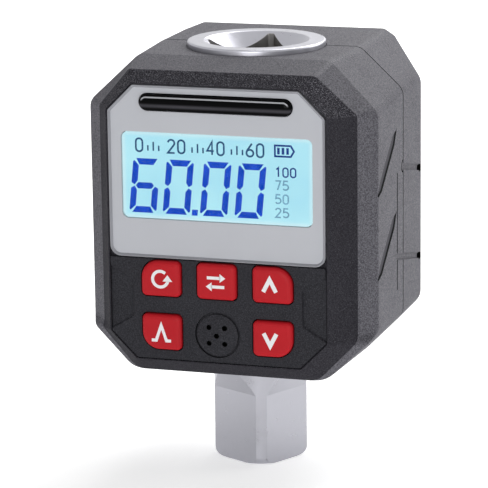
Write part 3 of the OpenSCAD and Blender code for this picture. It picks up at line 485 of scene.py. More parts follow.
def smooth_plastic(name, colour, roughness, variation=0.12, coat=0.0, bump=0.05, specular=0.5):
    """Smooth plastic, rubber or film with slight unevenness."""
    mat, tree, node = shader(name, colour, roughness, specular=specular, coat=coat)
    fine = place_group(tree, FINE)
    dark = tuple(c * (1 - variation) for c in colour)
    share = add_range(tree, fine.outputs["Cloud"], 0.3, 0.7)
    tree.links.new(add_mix(tree, share, dark, colour), node.inputs["Base Color"])
    tree.links.new(add_range(tree, fine.outputs["Cloud"], 0.3, 0.7, roughness * 0.9, roughness * 1.1),
                   node.inputs["Roughness"])
    add_bump(tree, node, fine.outputs["Height"], bump, 0.00003)
    return mat


def steel(name, colour, roughness, stretch=0.03, strength=0.1, mottle=0.1):
    """Ground or plated metal."""
    mat, tree, node = shader(name, colour, roughness, metallic=1.0)
    ground = place_group(tree, GROUND, Stretch=stretch)
    dark = tuple(c * (1 - mottle) for c in colour)
    share = add_range(tree, ground.outputs["Mask"], 0.3, 0.7)
    tree.links.new(add_mix(tree, share, dark, colour), node.inputs["Base Color"])
    tree.links.new(add_range(tree, ground.outputs["Mask"], 0.3, 0.7, roughness * 0.85, roughness * 1.15),
                   node.inputs["Roughness"])
    add_bump(tree, node, ground.outputs["Height"], strength, 0.00001)
    return mat


def smoked_lens(name):
    """Smoked lens, near black, with a painted highlight line along its upper edge and a paler band of painted sheen in
    its lower half.
    """
    near_black = srgb("050506")
    mat, tree, node = shader(name, near_black, 0.04, specular=0.04)
    parts = tree.nodes.new("ShaderNodeSeparateXYZ")
    tree.links.new(object_vector(tree), parts.inputs[0])
    mid_z = (bar_low.z + bar_high.z) / 2 * MM
    height = add_math(tree, "SUBTRACT", parts.outputs[2], mid_z)
    # Paler band a little below the middle: painted sheen, a dim reflection painted into the colour
    away = add_math(tree, "ABSOLUTE", add_math(tree, "ADD", height, sheen_drop))
    painted_sheen = add_range(tree, away, 0.0, sheen_half, 1, 0, smooth=True)
    # Thin light line at a set radius along the upper rounded edge: painted highlight
    reach = (bar_high.x - bar_low.x) / 2 * MM - (bar_high.z - bar_low.z) / 2 * MM
    beyond = add_math(tree, "MAXIMUM", add_math(tree, "SUBTRACT", add_math(tree, "ABSOLUTE", parts.outputs[0]), reach))
    radius = add_math(tree, "SQRT", add_math(
        tree, "ADD", add_math(tree, "MULTIPLY", beyond, beyond), add_math(tree, "MULTIPLY", height, height)
    ))
    off_highlight = add_math(tree, "ABSOLUTE", add_math(tree, "SUBTRACT", radius, highlight_radius))
    line = add_range(tree, off_highlight, highlight_half * 0.6, highlight_half, 1, 0, smooth=True)
    upper = add_range(tree, height, 0.0002, 0.0007, smooth=True)
    fine = place_group(tree, FINE)
    cloud = add_range(tree, fine.outputs["Cloud"], 0.3, 0.7, 0.8, 1.0)
    body = add_mix(tree, add_math(tree, "MULTIPLY", painted_sheen, cloud), near_black, srgb("444348"))
    # The painted highlight is laid over the black body and its painted sheen, in the upper half only
    share = add_math(tree, "MULTIPLY", line, upper)
    tree.links.new(add_mix(tree, share, body, srgb("b4b5ba")), node.inputs["Base Color"])
    return mat


def clear_window(name):
    mat, tree, node = shader(name, (0.96, 0.99, 1.0), 0.02)
    node.inputs["Transmission Weight"].default_value = 1.0
    node.inputs["IOR"].default_value = 1.15
    fine = place_group(tree, FINE)
    add_bump(tree, node, fine.outputs["Height"], 0.01, 0.00001)
    return mat


def lit_display(name):
    """Back-lit display whose light is a little paler towards its edges."""
    mat, tree, node = shader(name, srgb("9fd8e4"), 0.35, specular=0.2)
    vector = object_vector(tree)
    parts = tree.nodes.new("ShaderNodeSeparateXYZ")
    tree.links.new(vector, parts.inputs[0])
    mid_z = (window_low.z + window_high.z) / 2 * MM
    across = add_math(tree, "ABSOLUTE", parts.outputs[0])
    upward = add_math(tree, "ABSOLUTE", add_math(tree, "SUBTRACT", parts.outputs[2], mid_z))
    rim = 0.0009
    side = add_range(tree, across, window_high.x * MM - rim, window_high.x * MM, smooth=True)
    end = add_range(tree, upward, (window_high.z - window_low.z) / 2 * MM - rim,
                    (window_high.z - window_low.z) / 2 * MM, smooth=True)
    edge = add_math(tree, "MAXIMUM", side, end)
    fine = place_group(tree, FINE)
    cloud = add_range(tree, fine.outputs["Cloud"], 0.35, 0.65)
    body = add_mix(tree, cloud, srgb("a9e4f6"), srgb("b9f0fb"))
    glow = add_mix(tree, add_math(tree, "MULTIPLY", edge, 0.6), body, srgb("dff7fb"))
    tree.links.new(glow, node.inputs["Emission Color"])
    node.inputs["Emission Strength"].default_value = 0.9
    node.inputs["Base Color"].default_value = (0.02, 0.03, 0.03, 1)
    return mat


def display_ink(name, colour, share=0.9):
    """Dark liquid crystal mark that still lets some of the back light through."""
    mat, tree, node = shader(name, (0.005, 0.01, 0.02), 0.4, specular=0.0)
    fine = place_group(tree, FINE, Grain_per_metre=900.0)
    pale = tuple(min(1.0, c * 1.35 + 0.01) for c in colour)
    cloud = add_range(tree, fine.outputs["Height"], 0.35, 0.65)
    tree.links.new(add_mix(tree, cloud, colour, pale), node.inputs["Emission Color"])
    node.inputs["Emission Strength"].default_value = share
    return mat


# In each spark plastic below, the fleck colour and the two shares paint glints, the last share where the face turns up
shell_plastic = sparked_plastic(
    "shell_plastic", srgb("49484e"), srgb("69686e"), 0.62, 0.5, 3600.0, srgb("8c8b92"), 0.45, 0.45
)
bezel_plastic = sparked_plastic(
    "bezel_plastic", srgb("29282d"), srgb("38373c"), 0.6, 0.4, 3600.0, srgb("85848b"), 0.15, 1.0, specular=0.01
)
panel_plastic = sparked_plastic(
    "panel_plastic", srgb("26262a"), srgb("333338"), 0.55, 0.4, 3600.0, srgb("5c5b61"), 0.3, 1.0, specular=0.08
)
groove_floor = smooth_plastic("groove_floor", srgb("434248"), 0.7, specular=0.1)
# Near-black painted shade, laid on the walls of holes, grooves, notches, the open joint and the insides
painted_shade = smooth_plastic("painted_shade", srgb("0a0a0b"), 0.8, specular=0.05)
plate_film = smooth_plastic("plate_film", srgb("bcbec4"), 0.42, variation=0.03, bump=0.02, specular=0.3)
# Darker grey for the faceplate's lip and slanted wall: painted shade
plate_lip_shade = smooth_plastic("plate_lip_shade", srgb("9a9ba1"), 0.45, variation=0.03, bump=0.02, specular=0.2)
lens_black = smoked_lens("lens_black")
key_red = smooth_plastic("key_red", srgb("bb1a24"), 0.45, variation=0.05, bump=0.06, specular=0.15)
legend_white = smooth_plastic("legend_white", srgb("efeef0"), 0.5, variation=0.03, specular=0.2)
tool_steel = steel("tool_steel", srgb("adadb4"), 0.32, strength=0.02, mottle=0.03)
socket_steel = steel("socket_steel", srgb("a2a09e"), 0.35, strength=0.05, mottle=0.1)
screw_steel = steel("screw_steel", srgb("8c8c90"), 0.35, strength=0.2, mottle=0.2)
ball_steel = steel("ball_steel", srgb("d8d8dc"), 0.12, strength=0.02, mottle=0.03)
spring_steel = steel("spring_steel", srgb("b4b4b8"), 0.25, strength=0.05)
contact_brass = steel("contact_brass", srgb("c9a24a"), 0.3)
seal_rubber = smooth_plastic("seal_rubber", srgb("161617"), 0.8)
window_clear = clear_window("window_clear")
display_glow = lit_display("display_glow")
digit_ink = display_ink("digit_ink", srgb("003eb6"))
scale_ink = display_ink("scale_ink", srgb("1b456c"))
mark_ink = display_ink("mark_ink", srgb("0a2f78"))
pale_ink = display_ink("pale_ink", srgb("6f9db6"))


# Housing

class FrontRing:
    """Ring of the housing: half width, top, underside, corner cuts and the depths of side, toe, top and underside.

    The toe is the upper end of a lower corner. It can lie further forward and further in than the side, which
    turns to it over the toe's rise.
    """

    def __init__(self, half, top, low, top_cut, low_cut, side_y, toe_y, top_y, low_y, toe_rise=0.8, toe_in=0.0):
        self.half, self.top, self.low = half, top, low
        self.top_cut, self.low_cut = top_cut, low_cut
        self.side_y, self.toe_y, self.top_y, self.low_y = side_y, toe_y, top_y, low_y
        self.toe_rise, self.toe_in = toe_rise, toe_in

    def points(self):
        (tw, th), (lw, lh) = self.top_cut, self.low_cut
        upper = [(self.half - tw, self.top_y, self.top), (self.half, self.side_y, self.top - th)]
        lower = [
            (self.half, self.side_y, self.low + lh + self.toe_rise),
            (self.half - self.toe_in, self.toe_y, self.low + lh),
            (self.half - lw, self.low_y, self.low),
        ]
        right = [Vector(p) for p in upper + lower]
        left = [Vector((-p.x, p.y, p.z)) for p in reversed(right)]
        return right + left

    def moved(self, y):
        """Same outline laid flat at one depth."""
        return FrontRing(
            self.half, self.top, self.low, self.top_cut, self.low_cut, y, y, y, y, self.toe_rise, self.toe_in
        )

    def inset(self, distance, shift=0.0):
        """Outline drawn inwards by a distance, and moved in depth."""
        def cut(w, h):
            slant = math.hypot(w, h)
            return (w - distance + distance * (slant - w) / h, h - distance + distance * (slant - h) / w)
        return FrontRing(
            self.half - distance, self.top - distance, self.low + distance, cut(*self.top_cut), cut(*self.low_cut),
            self.side_y + shift, self.toe_y + shift, self.top_y + shift, self.low_y + shift,
            self.toe_rise, self.toe_in
        )


rim_growth = rim_step * (2 - math.sqrt(2))
RIM = FrontRing(
    plate_half + rim_step, plate_top + rim_step, panel_low - rim_step,
    (plate_cut + rim_growth, plate_cut + rim_growth), (panel_cut + rim_growth, panel_cut + rim_growth),
    rim_y, rim_y, rim_y, rim_y
)
SHOULDER = FrontRing(
    RIM.half + bezel_spread, case_top - shoulder_top_in, case_low + shoulder_low_in,
    (6.35, 6.8), (6.45, 6.72),
    rim_y + bezel_side_d, rim_y + bezel_toe_d, rim_y + bezel_top_d, rim_y + bezel_low_d, bezel_toe_rise
)
EDGE = FrontRing(
    case_half, case_top, case_low + edge_low_in, edge_top_corner, edge_low_corner,
    rim_y + side_set, rim_y + edge_toe_d, rim_y + top_set, rim_y + edge_low_d, edge_toe_rise, edge_toe_in
)
FLAT = FrontRing(
    case_half, case_top, case_low, top_corner, low_corner, parting, parting, parting, parting, flat_toe_rise
)


def rounded_ring(ring, top_r, turn_r, toe_r, low_r, steps=5):
    """Ring with its corners rounded, by the radii of its top, of the turn above the toe, of toe and underside."""
    right = [top_r, top_r, turn_r, toe_r, low_r]
    return rounded_outline(ring.points(), right + right[::-1], steps)


def skin_rings(rings, radii, steps=4):
    """Rounds the columns of points that run through a row of rings, and gives back the finer rings."""
    columns = [rounded_run(list(column), radii, steps) for column in zip(*rings)]
    return [list(ring) for ring in zip(*columns)]


ring_turn_r = 0.7
crease_r = 0.12
rim_radii = (0.8, 0.3, 0.8, 0.8)
shoulder_radii = (0.9, 0.8, 1.1, 3.2)
edge_radii = (2.4, 1.1, 1.7, 4.2)
flat_radii = (2.6, 0.4, 3.0, 4.2)
# Fine open joint between the two shells, half of it in each; the faces across it take painted shade
joint_half_w = 0.17
joint_d = 0.3


def make_front_block():
    rings = [
        rounded_ring(SHOULDER.inset(crease_r), *shoulder_radii),
        rounded_ring(SHOULDER, *shoulder_radii),
        rounded_ring(EDGE, *edge_radii),
        rounded_ring(FLAT.moved(parting - joint_half_w), *flat_radii),
    ]
    skin = skin_rings(rings, [crease_r, ring_turn_r])
    skin.append(rounded_ring(FLAT.inset(joint_d), *flat_radii))
    # The marked row, the face across the joint, takes painted shade
    return solid(skin, marked=[len(skin) - 2])


def make_front_hollow():
    inner = [
        SHOULDER.inset(case_wall, -4 * overrun), SHOULDER.inset(case_wall, overrun),
        EDGE.inset(case_wall, case_wall * 0.41), FLAT.inset(case_wall).moved(parting + overrun)
    ]
    return solid([ring.points() for ring in inner])


# Marks of both sides: pointed grooves, slanted finger slots with notches, and the line at the front of the grip
groove_run = 12.9
groove_fall = 9.6
groove_w = 2.2
groove_depth = 0.18
groove_floor_share = 0.62
groove_tops = [case_top - 13, case_top - 27.2]
slot_w = 1.1
slot_depth = 0.35
slot_slope = math.radians(12)
slot_starts = [(parting - 0.5, case_top - 19.7), (-2.2, case_top - 34.6)]
notch_w = 1.5
notch_depth = 1.3
notch_back = case_back - rear_bevel_d - 0.2
line_y = -1.8
line_w = 0.3
line_ends = (case_top - 41.1, case_top - 20.7)
nub_r = 0.85
nub_w = 0.3


def side_groove(side, z_top):
    """Pointed groove pressed into a side, with steep walls and a narrow floor."""
    length = math.hypot(groove_run, groove_fall)
    forward = Vector((0, -groove_run, -groove_fall)) / length
    up = Vector((0, -groove_fall, groove_run)) / length
    start = Vector((0, -2.2, z_top))

    def outline(x, share, shorten=0.0):
        half = groove_w / 2 * share
        shape = [(shorten, 0), (0.18, half), (0.82, half), (1 - shorten, 0), (0.82, -half), (0.18, -half)]
        return [start + forward * (length * t) + up * h + Vector((side * x, 0, 0)) for t, h in shape]
    # The walls of the groove take painted shade
    walls = [outline(case_half + 0.3, 1.15), outline(case_half, 1.0)]
    floor = outline(case_half - groove_depth, groove_floor_share, 0.07)
    return solid(walls + [floor], marked_end=True)


def side_slot(side, start_y, start_z):
    """Shallow slanted slot that runs back over both shells to its notch."""
    back = Vector((0, math.cos(slot_slope), -math.sin(slot_slope)))
    down = Vector((0, -math.sin(slot_slope), -math.cos(slot_slope)))
    start = Vector((0, start_y, start_z))
    reach = (notch_back - start_y) / math.cos(slot_slope)
    rings = []
    for x in (case_half - slot_depth, case_half + 0.5):
        corners = [start, start + back * reach, start + back * reach + down * slot_w, start + down * slot_w]
        rings.append([c + Vector((side * x, 0, 0)) for c in corners])
    return solid(rings)


def side_notch(side, start_y, start_z):
    """Notch that ends a slot just before the rear bevel; its faces take painted shade."""
    front = notch_back - notch_w
    high = start_z - (notch_back - start_y) * math.tan(slot_slope)
    rings = []
    for x in (case_half - notch_depth, case_half + 0.5):
        corners = [(front, high), (notch_back, high), (notch_back, high - slot_w), (front, high - slot_w)]
        rings.append([Vector((side * x, y, h)) for y, h in corners])
    return solid(rings)


def grip_line(side):
    """Fine line along the front edge of the grip."""
    low, high = line_ends
    rings = []
    for x, half in ((case_half + 0.2, line_w), (case_half - slot_depth, line_w / 4)):
        corners = [(line_y - half, low), (line_y + half, low), (line_y + half, high), (line_y - half, high)]
        rings.append([Vector((side * x, y, z)) for y, z in corners])
    return solid(rings)


def joint_nub(side):
    """Small half round where the joint of the shells steps forward round a slot, cut as a fine arc."""
    steps = 14
    slot_y, slot_z = slot_starts[0]
    middle = Vector((0, slot_y + nub_r * 0.4, slot_z - slot_w / 2))
    deep = Vector((side * (case_half - joint_d), 0, 0))
    high = Vector((side * (case_half + 0.2), 0, 0))
    rings = []
    for i in range(steps + 1):
        a = math.radians(90 + 180 * i / steps)
        out = Vector((0, math.cos(a), math.sin(a)))
        near, far = middle + out * nub_r, middle + out * (nub_r + nub_w)
        rings.append([near + deep, near + high, far + high, far + deep])
    return solid(rings)


head_r = 11.85
bar_r = 8.075
shaft_gap = 0.1


def rod_z(radius, low, high, steps=96):
    return turned([(0, low), (radius, low), (radius, high), (0, high)], steps)


def rod_y(radius, near, far, x=0.0, z=0.0, steps=32):
    return turned([(0, near), (radius, near), (radius, far), (0, far)], steps, "Y", (x, 0, z))


def front_shell():
    shell = raw_object("front_shell_dressed", make_front_block())
    coloured(shell, shell_plastic, painted_shade)
    # Inside, groove walls, grip line, joint nub and shaft holes take the near-black painted shade
    combine(shell, make_front_hollow(), material=painted_shade)
    for side in (-1, 1):
        for z in groove_tops:
            combine(shell, side_groove(side, z), material=painted_shade, second=groove_floor)
        for y, z in slot_starts:
            combine(shell, side_slot(side, y, z), material=shell_plastic)
        combine(shell, grip_line(side), material=painted_shade)
        combine(shell, joint_nub(side), material=painted_shade)
    combine(shell, rod_z(head_r + shaft_gap, case_mid, case_top + overrun), material=painted_shade)
    combine(shell, rod_z(bar_r + shaft_gap, case_low - overrun, case_mid), material=painted_shade)
    return finish_piece(shell, "adapter", ["front_shell"])


pillar_x = 20.8
pillar_rise = 13.5
screw_seat_y = 10.8
screw_head_r = 2.2


def behind_bevel(corner):
    """What the rear bevel leaves of a corner cut."""
    width, height = corner
    return (width - rear_bevel_w, height * (1 - rear_bevel_w / width))


back_radii = (1.0, 0.2, 0.4, 0.4)
# Corner cut at the top of the back, a little larger than the bevel leaves
back_top_corner = (2.0, 1.3)


def make_rear_block():
    bevel_y = case_back - rear_bevel_d
    back = FrontRing(
        case_half - rear_bevel_w, case_top, case_low, back_top_corner, behind_bevel(low_corner),
        case_back, case_back, case_back, case_back, flat_toe_rise
    )
    rings = [
        rounded_ring(FLAT.moved(parting + joint_half_w), *flat_radii),
        rounded_ring(FLAT.moved(bevel_y), *flat_radii),
        rounded_ring(back, *back_radii),
        rounded_ring(back.inset(1.0), *back_radii),
    ]
    skin = [rounded_ring(FLAT.inset(joint_d), *flat_radii)] + skin_rings(rings, [0.5, 0.3])
    # Row 0, the face across the joint, takes painted shade
    return solid(skin, marked=[0])


def make_rear_hollow():
    inset = case_wall
    inner = FLAT.inset(inset)
    slant = math.hypot(rear_bevel_w, rear_bevel_d)
    plan_w = rear_bevel_w - inset + inset * (slant - rear_bevel_w) / rear_bevel_d
    plan_d = rear_bevel_d - inset + inset * (slant - rear_bevel_d) / rear_bevel_w
    back_y = case_back - inset
    share = plan_w / inner.top_cut[0]
    low_share = plan_w / inner.low_cut[0]
    back = FrontRing(
        inner.half - plan_w, inner.top, inner.low,
        (inner.top_cut[0] - plan_w, inner.top_cut[1] * (1 - share)),
        (inner.low_cut[0] - plan_w, inner.low_cut[1] * (1 - low_share)),
        back_y, back_y, back_y, back_y
    )
    rings = [inner.moved(parting - overrun), inner.moved(back_y - plan_d), back]
    return solid([ring.points() for ring in rings])


def door_outline(grow):
    half_w = door_high.x + grow
    half_h = (door_high.z - door_low.z) / 2 + grow
    corners = [(-half_w, case_mid - half_h), (half_w, case_mid - half_h), (half_w, case_mid + half_h),
               (-half_w, case_mid + half_h)]
    return rounded_outline([Vector(c) for c in corners], [2.5 + grow] * 4, 6)


def rear_shell():
    shell = raw_object("rear_shell_dressed", make_rear_block())
    coloured(shell, shell_plastic, painted_shade)
    # Inside, notches and shaft holes take the near-black painted shade
    combine(shell, make_rear_hollow(), material=painted_shade)
    combine(shell, prism(door_outline(seam), door_low.y, case_back + overrun), material=shell_plastic)
    combine(shell, prism(door_outline(-0.5), case_back - case_wall - overrun, case_back), material=shell_plastic)
    for side in (-1, 1):
        for y, z in slot_starts:
            combine(shell, side_slot(side, y, z), material=shell_plastic)
            combine(shell, side_notch(side, y, z), material=painted_shade)
        for z in (case_mid - pillar_rise, case_mid + pillar_rise):
            combine(shell, rod_y(screw_head_r + 0.6, parting + 2, screw_seat_y - 1, side * pillar_x, z), "UNION")
            combine(shell, rod_y(screw_head_r + 0.1, screw_seat_y, case_back, side * pillar_x, z), material=shell_plastic)
    combine(shell, rod_z(head_r + shaft_gap, case_mid, case_top + overrun), material=painted_shade)
    combine(shell, rod_z(bar_r + shaft_gap, case_low - overrun, case_mid), material=painted_shade)
    return finish_piece(shell, "adapter", ["rear_shell"])


# Faceplate, keypad panel and bezel

def plate_corners(inset=0.0):
    """Faceplate outline with its radii, drawn inwards by a distance."""
    half, top, low = plate_half - inset, plate_top - inset, plate_low + inset
    cut = plate_cut - inset * (2 - math.sqrt(2))
    corners = [(half - cut, top), (half, top - cut), (half, low), (-half, low), (-half, top - cut), (-half + cut, top)]
    lower_r = max(plate_r - inset, 0.2)
    return [Vector(c) for c in corners], [0.5, 0.5, lower_r, lower_r, 0.5, 0.5]


def plate_ring(inset, y):
    corners, radii = plate_corners(inset)
    return flat(rounded_outline(corners, radii, 8), y)


def rect_outline(low, high, radius, grow=0.0, steps=8):
    corners = [(low.x - grow, low.z - grow), (high.x + grow, low.z - grow),
               (high.x + grow, high.z + grow), (low.x - grow, high.z + grow)]
    return rounded_outline([Vector(c) for c in corners], [radius + grow] * 4, steps)


def bar_outline(grow=0.0):
    """Half round ended outline of the light bar."""
    mid_z = (bar_low.z + bar_high.z) / 2
    radius = lens_h / 2 + grow
    reach = lens_w / 2 - lens_h / 2
    points = []
    for side, start in ((1, -math.pi / 2), (-1, math.pi / 2)):
        for i in range(17):
            a = start + math.pi * i / 16
            points.append(Vector((side * reach + radius * math.cos(a), mid_z + radius * math.sin(a))))
    return points


lens_flange = 0.7
lens_w = bar_high.x - bar_low.x - 2 * lens_flange
lens_h = bar_high.z - bar_low.z - 2 * lens_flange
window_r = 1.0


# Depth of the faceplate's film, which lies inside a narrow lip with a slanted wall
film_y = rim_y + 0.35


def faceplate():
    rings = [
        plate_ring(0.0, seat_y),
        plate_ring(0.0, rim_y + 0.1),
        plate_ring(0.08, rim_y),
        plate_ring(0.16, rim_y),
        plate_ring(0.46, film_y),
        plate_ring(1.4, film_y),
    ]
    # The marked rows, the lip and its slanted wall, take a darker grey: painted shade
    plate = raw_object("faceplate_dressed", solid(rings, marked=[1, 2, 3]))
    coloured(plate, plate_film, plate_lip_shade)
    combine(plate, prism(rect_outline(window_low, window_high, window_r, 0.1), rim_y - 1, seat_y + 1), material=plate_film)
    combine(plate, prism(bar_outline(0.12), rim_y - 1, seat_y + 1), material=plate_film)
    return finish_piece(plate, "adapter", ["faceplate"], bevel=0.06, bevel_angle=60)


def window_piece():
    low, high = window_low, window_high
    front = film_y + 0.03
    steps = [(0.0, seat_y - 0.12), (0.0, front + 0.12), (0.12, front), (1.0, front)]
    rings = [flat(rect_outline(low, high, window_r, -inset), y) for inset, y in steps]
    piece = raw_object("display_window_dressed", solid(rings))
    coloured(piece, window_clear)
    return finish_piece(piece, "adapter", ["display_window"])


def panel_corners():
    half = plate_half
    corners = [(half, panel_top), (half, panel_low + panel_cut), (half - panel_cut, panel_low),
               (-half + panel_cut, panel_low), (-half, panel_low + panel_cut), (-half, panel_top)]
    return [Vector(c) for c in corners]


# Keys: column, row and which corner is the large one
key_w = 6.9
key_h = 6.1
key_pitch = 9.68
row_high = plate_low - 3.42
row_low = row_high - 9.18
key_gap = 0.2
big_r = 2.9
small_r = 0.9
KEYS = {
    "clear": (-key_pitch, row_high, -1, 1),
    "unit": (0.0, row_high, 0, 0),
    "up": (key_pitch, row_high, 1, 1),
    "mode": (-key_pitch, row_low, -1, -1),
    "down": (key_pitch, row_low, 1, -1),
}


def key_outline(key, grow=0.0):
    x, z, big_x, big_z = KEYS[key]
    corners, radii = [], []
    for sx, sz in ((1, 1), (1, -1), (-1, -1), (-1, 1)):
        corners.append(Vector((x + sx * (key_w / 2 + grow), z + sz * (key_h / 2 + grow))))
        radii.append((big_r if (sx, sz) == (big_x, big_z) else small_r) + grow)
    return rounded_outline(corners, radii, 8)


def wing_outline(side):
    """Sunk finger wing at a side of the keypad panel."""
    inner = plate_half - 4.1
    top = plate_low - 1.4
    low = panel_low + 4.6
    corners = [(plate_half + 0.5, top + 0.27), (inner, top - 2.35), (inner, low + 2.5), (plate_half + 0.5, low - 0.29)]
    return rounded_outline([Vector((side * x, z)) for x, z in corners], [0.1, 1.2, 1.2, 0.1], 6)


grille_z = row_low
grille_r = (grille_high.x - grille_low.x) / 2
sound_pitch = 1.36
sound_r = 0.45


def keypad_panel():
    outline = panel_corners()
    outline = rounded_outline(outline, [0.15, 0.6, 0.6, 0.6, 0.6, 0.15], 4)
    inner = [Vector((p.x * 0.997, panel_mid() + (p.y - panel_mid()) * 0.995)) for p in outline]
    rings = [flat(outline, seat_y), flat(outline, rim_y + 0.07), flat(inner, rim_y)]
    panel = raw_object("keypad_panel_dressed", solid(rings))
    coloured(panel, panel_plastic)
    for side in (-1, 1):
        outer = wing_outline(side)
        middle = Vector((side * (plate_half - 1.8), (plate_low + panel_low) / 2))
        floor = [middle + (p - middle) * 0.9 for p in outer]
        mouth = [middle + (p - middle) * 1.03 for p in outer]
        combine(panel, solid([flat(mouth, rim_y - 0.15), flat(floor, rim_y + 0.45)]), material=panel_plastic)
    for key in KEYS:
        combine(panel, prism(key_outline(key, key_gap), rim_y - 1, seat_y + 1), material=panel_plastic)
    combine(panel, prism(circle((0, grille_z), grille_r + 0.1, 64), rim_y - 1, seat_y + 1), material=panel_plastic)
    return finish_piece(panel, "adapter", ["keypad_panel"])


def panel_mid():
    return (panel_top + panel_low) / 2


# The plates lie a little left of the middle of their recess
recess_offset = 0.06


def front_bezel():
    rings = [
        rounded_ring(RIM.inset(rim_step * 0.5), *rim_radii),
        rounded_ring(RIM, *rim_radii),
        rounded_ring(SHOULDER, *shoulder_radii),
        rounded_ring(SHOULDER.inset(crease_r, 0.05), *shoulder_radii),
        rounded_ring(SHOULDER.inset(case_wall, 0.1), *rim_radii),
    ]
    bezel = raw_object("front_bezel_dressed", solid(skin_rings(rings, [0.1, crease_r, 0.02])))
    coloured(bezel, bezel_plastic)
    recess = FrontRing(
        plate_half + seam, plate_top + seam, panel_low - seam, (plate_cut, plate_cut), (panel_cut, panel_cut),
        rim_y, rim_y, rim_y, rim_y
    )
    rings = [rounded_ring(recess.moved(y), 0.5, 0.2, 0.5, 0.5) for y in (rim_y - overrun, seat_y)]
    off_centre = Vector((recess_offset, 0, 0))
    combine(bezel, solid([[p + off_centre for p in ring] for ring in rings]), material=bezel_plastic)
    inner_front = RIM.inset(0.7).moved(floor_y)
    inner_back = SHOULDER.inset(2.0, 3 * overrun)
    # The inside and the openings of the bezel take painted shade
    combine(bezel, solid([inner_front.points(), inner_back.points()]), material=painted_shade)
    openings = [rect_outline(window_low, window_high, window_r, 0.1), bar_outline(0.12)]
    openings += [key_outline(key, key_gap) for key in KEYS]
    openings.append(circle((0, grille_z), grille_r - 0.9, 48))
    for outline in openings:
        combine(bezel, prism(outline, seat_y - 1, floor_y + 1), material=painted_shade)
    return finish_piece(bezel, "adapter", ["front_bezel"])


def light_bar_lens():
    """Glossy bar whose front bulges like a long pebble."""
    proud = rim_y - bar_low.y
    rings = [flat(bar_outline(lens_flange), bar_high.y), flat(bar_outline(lens_flange), floor_y + 0.05)]
    rings += [flat(bar_outline(0.0), floor_y + 0.05), flat(bar_outline(0.0), rim_y + 0.05)]
    half = lens_h / 2
    for i in range(1, 9):
        a = math.pi / 2 * i / 9
        rings.append(flat(bar_outline(-half * (1 - math.cos(a))), rim_y + 0.05 - (proud + 0.05) * math.sin(a)))
    lens = raw_object("light_bar_lens_dressed", solid(rings))
    coloured(lens, lens_black)
    return finish_piece(lens, "adapter", ["light_bar_lens"], sharp_angle=50)


def buzzer_grille():
    proud = rim_y - grille_low.y
    dome_r = (grille_r ** 2 + proud ** 2) / (2 * proud)
    outer = grille_r - 0.3
    profile = [(0, seat_y), (grille_r, seat_y), (grille_r, rim_y + 0.35), (outer, rim_y + 0.35)]
    for i in range(12):
        r = outer * (1 - i / 12)
        profile.append((r, rim_y - proud + dome_r - math.sqrt(dome_r ** 2 - r ** 2)))
    profile.append((0, rim_y - proud))
    grille = raw_object("buzzer_grille_dressed", turned(profile, 96, "Y", (0, 0, grille_z)))
    coloured(grille, panel_plastic)
    # The walls of the sound holes take painted shade
    for x, z in ((0, 0), (-1, -1), (1, -1), (-1, 1), (1, 1)):
        hole = rod_y(sound_r, rim_y - proud - 1, seat_y + 1, x * sound_pitch, grille_z + z * sound_pitch)
        combine(grille, hole, material=painted_shade)
    return finish_piece(grille, "adapter", ["buzzer_grille"])


# Keys and their legends
key_front = key_low.y + 0.03
key_edge = 0.7


def key_cap(key):
    """Key with a rounded edge and a slightly crowned face."""
    flange_front, flange_back = floor_y + 0.05, floor_y + 0.7
    rings = [flat(key_outline(key, 0.7), flange_back), flat(key_outline(key, 0.7), flange_front),
             flat(key_outline(key), flange_front), flat(key_outline(key), key_front + key_edge)]
    for i in range(1, 8):
        a = math.pi / 2 * i / 8
        rings.append(flat(key_outline(key, -key_edge * (1 - math.cos(a))), key_front + 0.04 + (key_edge - 0.04) * (1 - math.sin(a))))
    for inset, rise in ((0.75, 0.03), (0.82, 0.01), (0.88, 0.0)):
        rings.append(flat(key_outline(key, -inset), key_front + rise))
    cap = raw_object(f"key_{key}_dressed", solid(rings))
    coloured(cap, key_red)
    return finish_piece(cap, f"{key}_key", [f"key_{key}"], sharp_angle=60)


def stroke(points, width, closed=False, round_ends=False):
    """Outline pair of a line of even width through points of X and Z, as quads in one mesh."""
    bm = bmesh.new()
    pts = [Vector(p) for p in points]
    count = len(pts)
    sides = []
    for i, p in enumerate(pts):
        before = pts[i - 1] if i > 0 or closed else None
        after = pts[(i + 1) % count] if i < count - 1 or closed else None
        d1 = (p - before).normalized() if before is not None else (after - p).normalized()
        d2 = (after - p).normalized() if after is not None else d1
        tangent = (d1 + d2).normalized()
        normal = Vector((-tangent.y, tangent.x))
        stretch = 1 / max(0.35, normal.dot(Vector((-d1.y, d1.x))))
        sides.append((p + normal * width / 2 * stretch, p - normal * width / 2 * stretch))
    last = count if closed else count - 1
    verts = [(bm.verts.new((a.x, 0, a.y)), bm.verts.new((b.x, 0, b.y))) for a, b in sides]
    for i in range(last):
        j = (i + 1) % count
        bm.faces.new((verts[i][0], verts[i][1], verts[j][1], verts[j][0]))
    return bm


def raised(name, meshes, y_front, thickness, material, body):
    """Flat marks given a thickness towards the front, joined in one piece."""
    bm = bmesh.new()
    for part in meshes:
        mesh = bpy.data.meshes.new("part")
        part.to_mesh(mesh)
        part.free()
        bm.from_mesh(mesh)
        bpy.data.meshes.remove(mesh)
    for face in bm.faces:
        if face.normal.y > 0:
            face.normal_flip()
    bm.normal_update()
    made = bmesh.ops.extrude_face_region(bm, geom=bm.faces[:])
    moved = [v for v in made["geom"] if isinstance(v, bmesh.types.BMVert)]
    for v in bm.verts:
        v.co.y = y_front + thickness
    for v in moved:
        v.co.y = y_front
    bmesh.ops.recalc_face_normals(bm, faces=bm.faces)
    obj = raw_object(name, bm)
    coloured(obj, material)
    return finish_piece(obj, body)


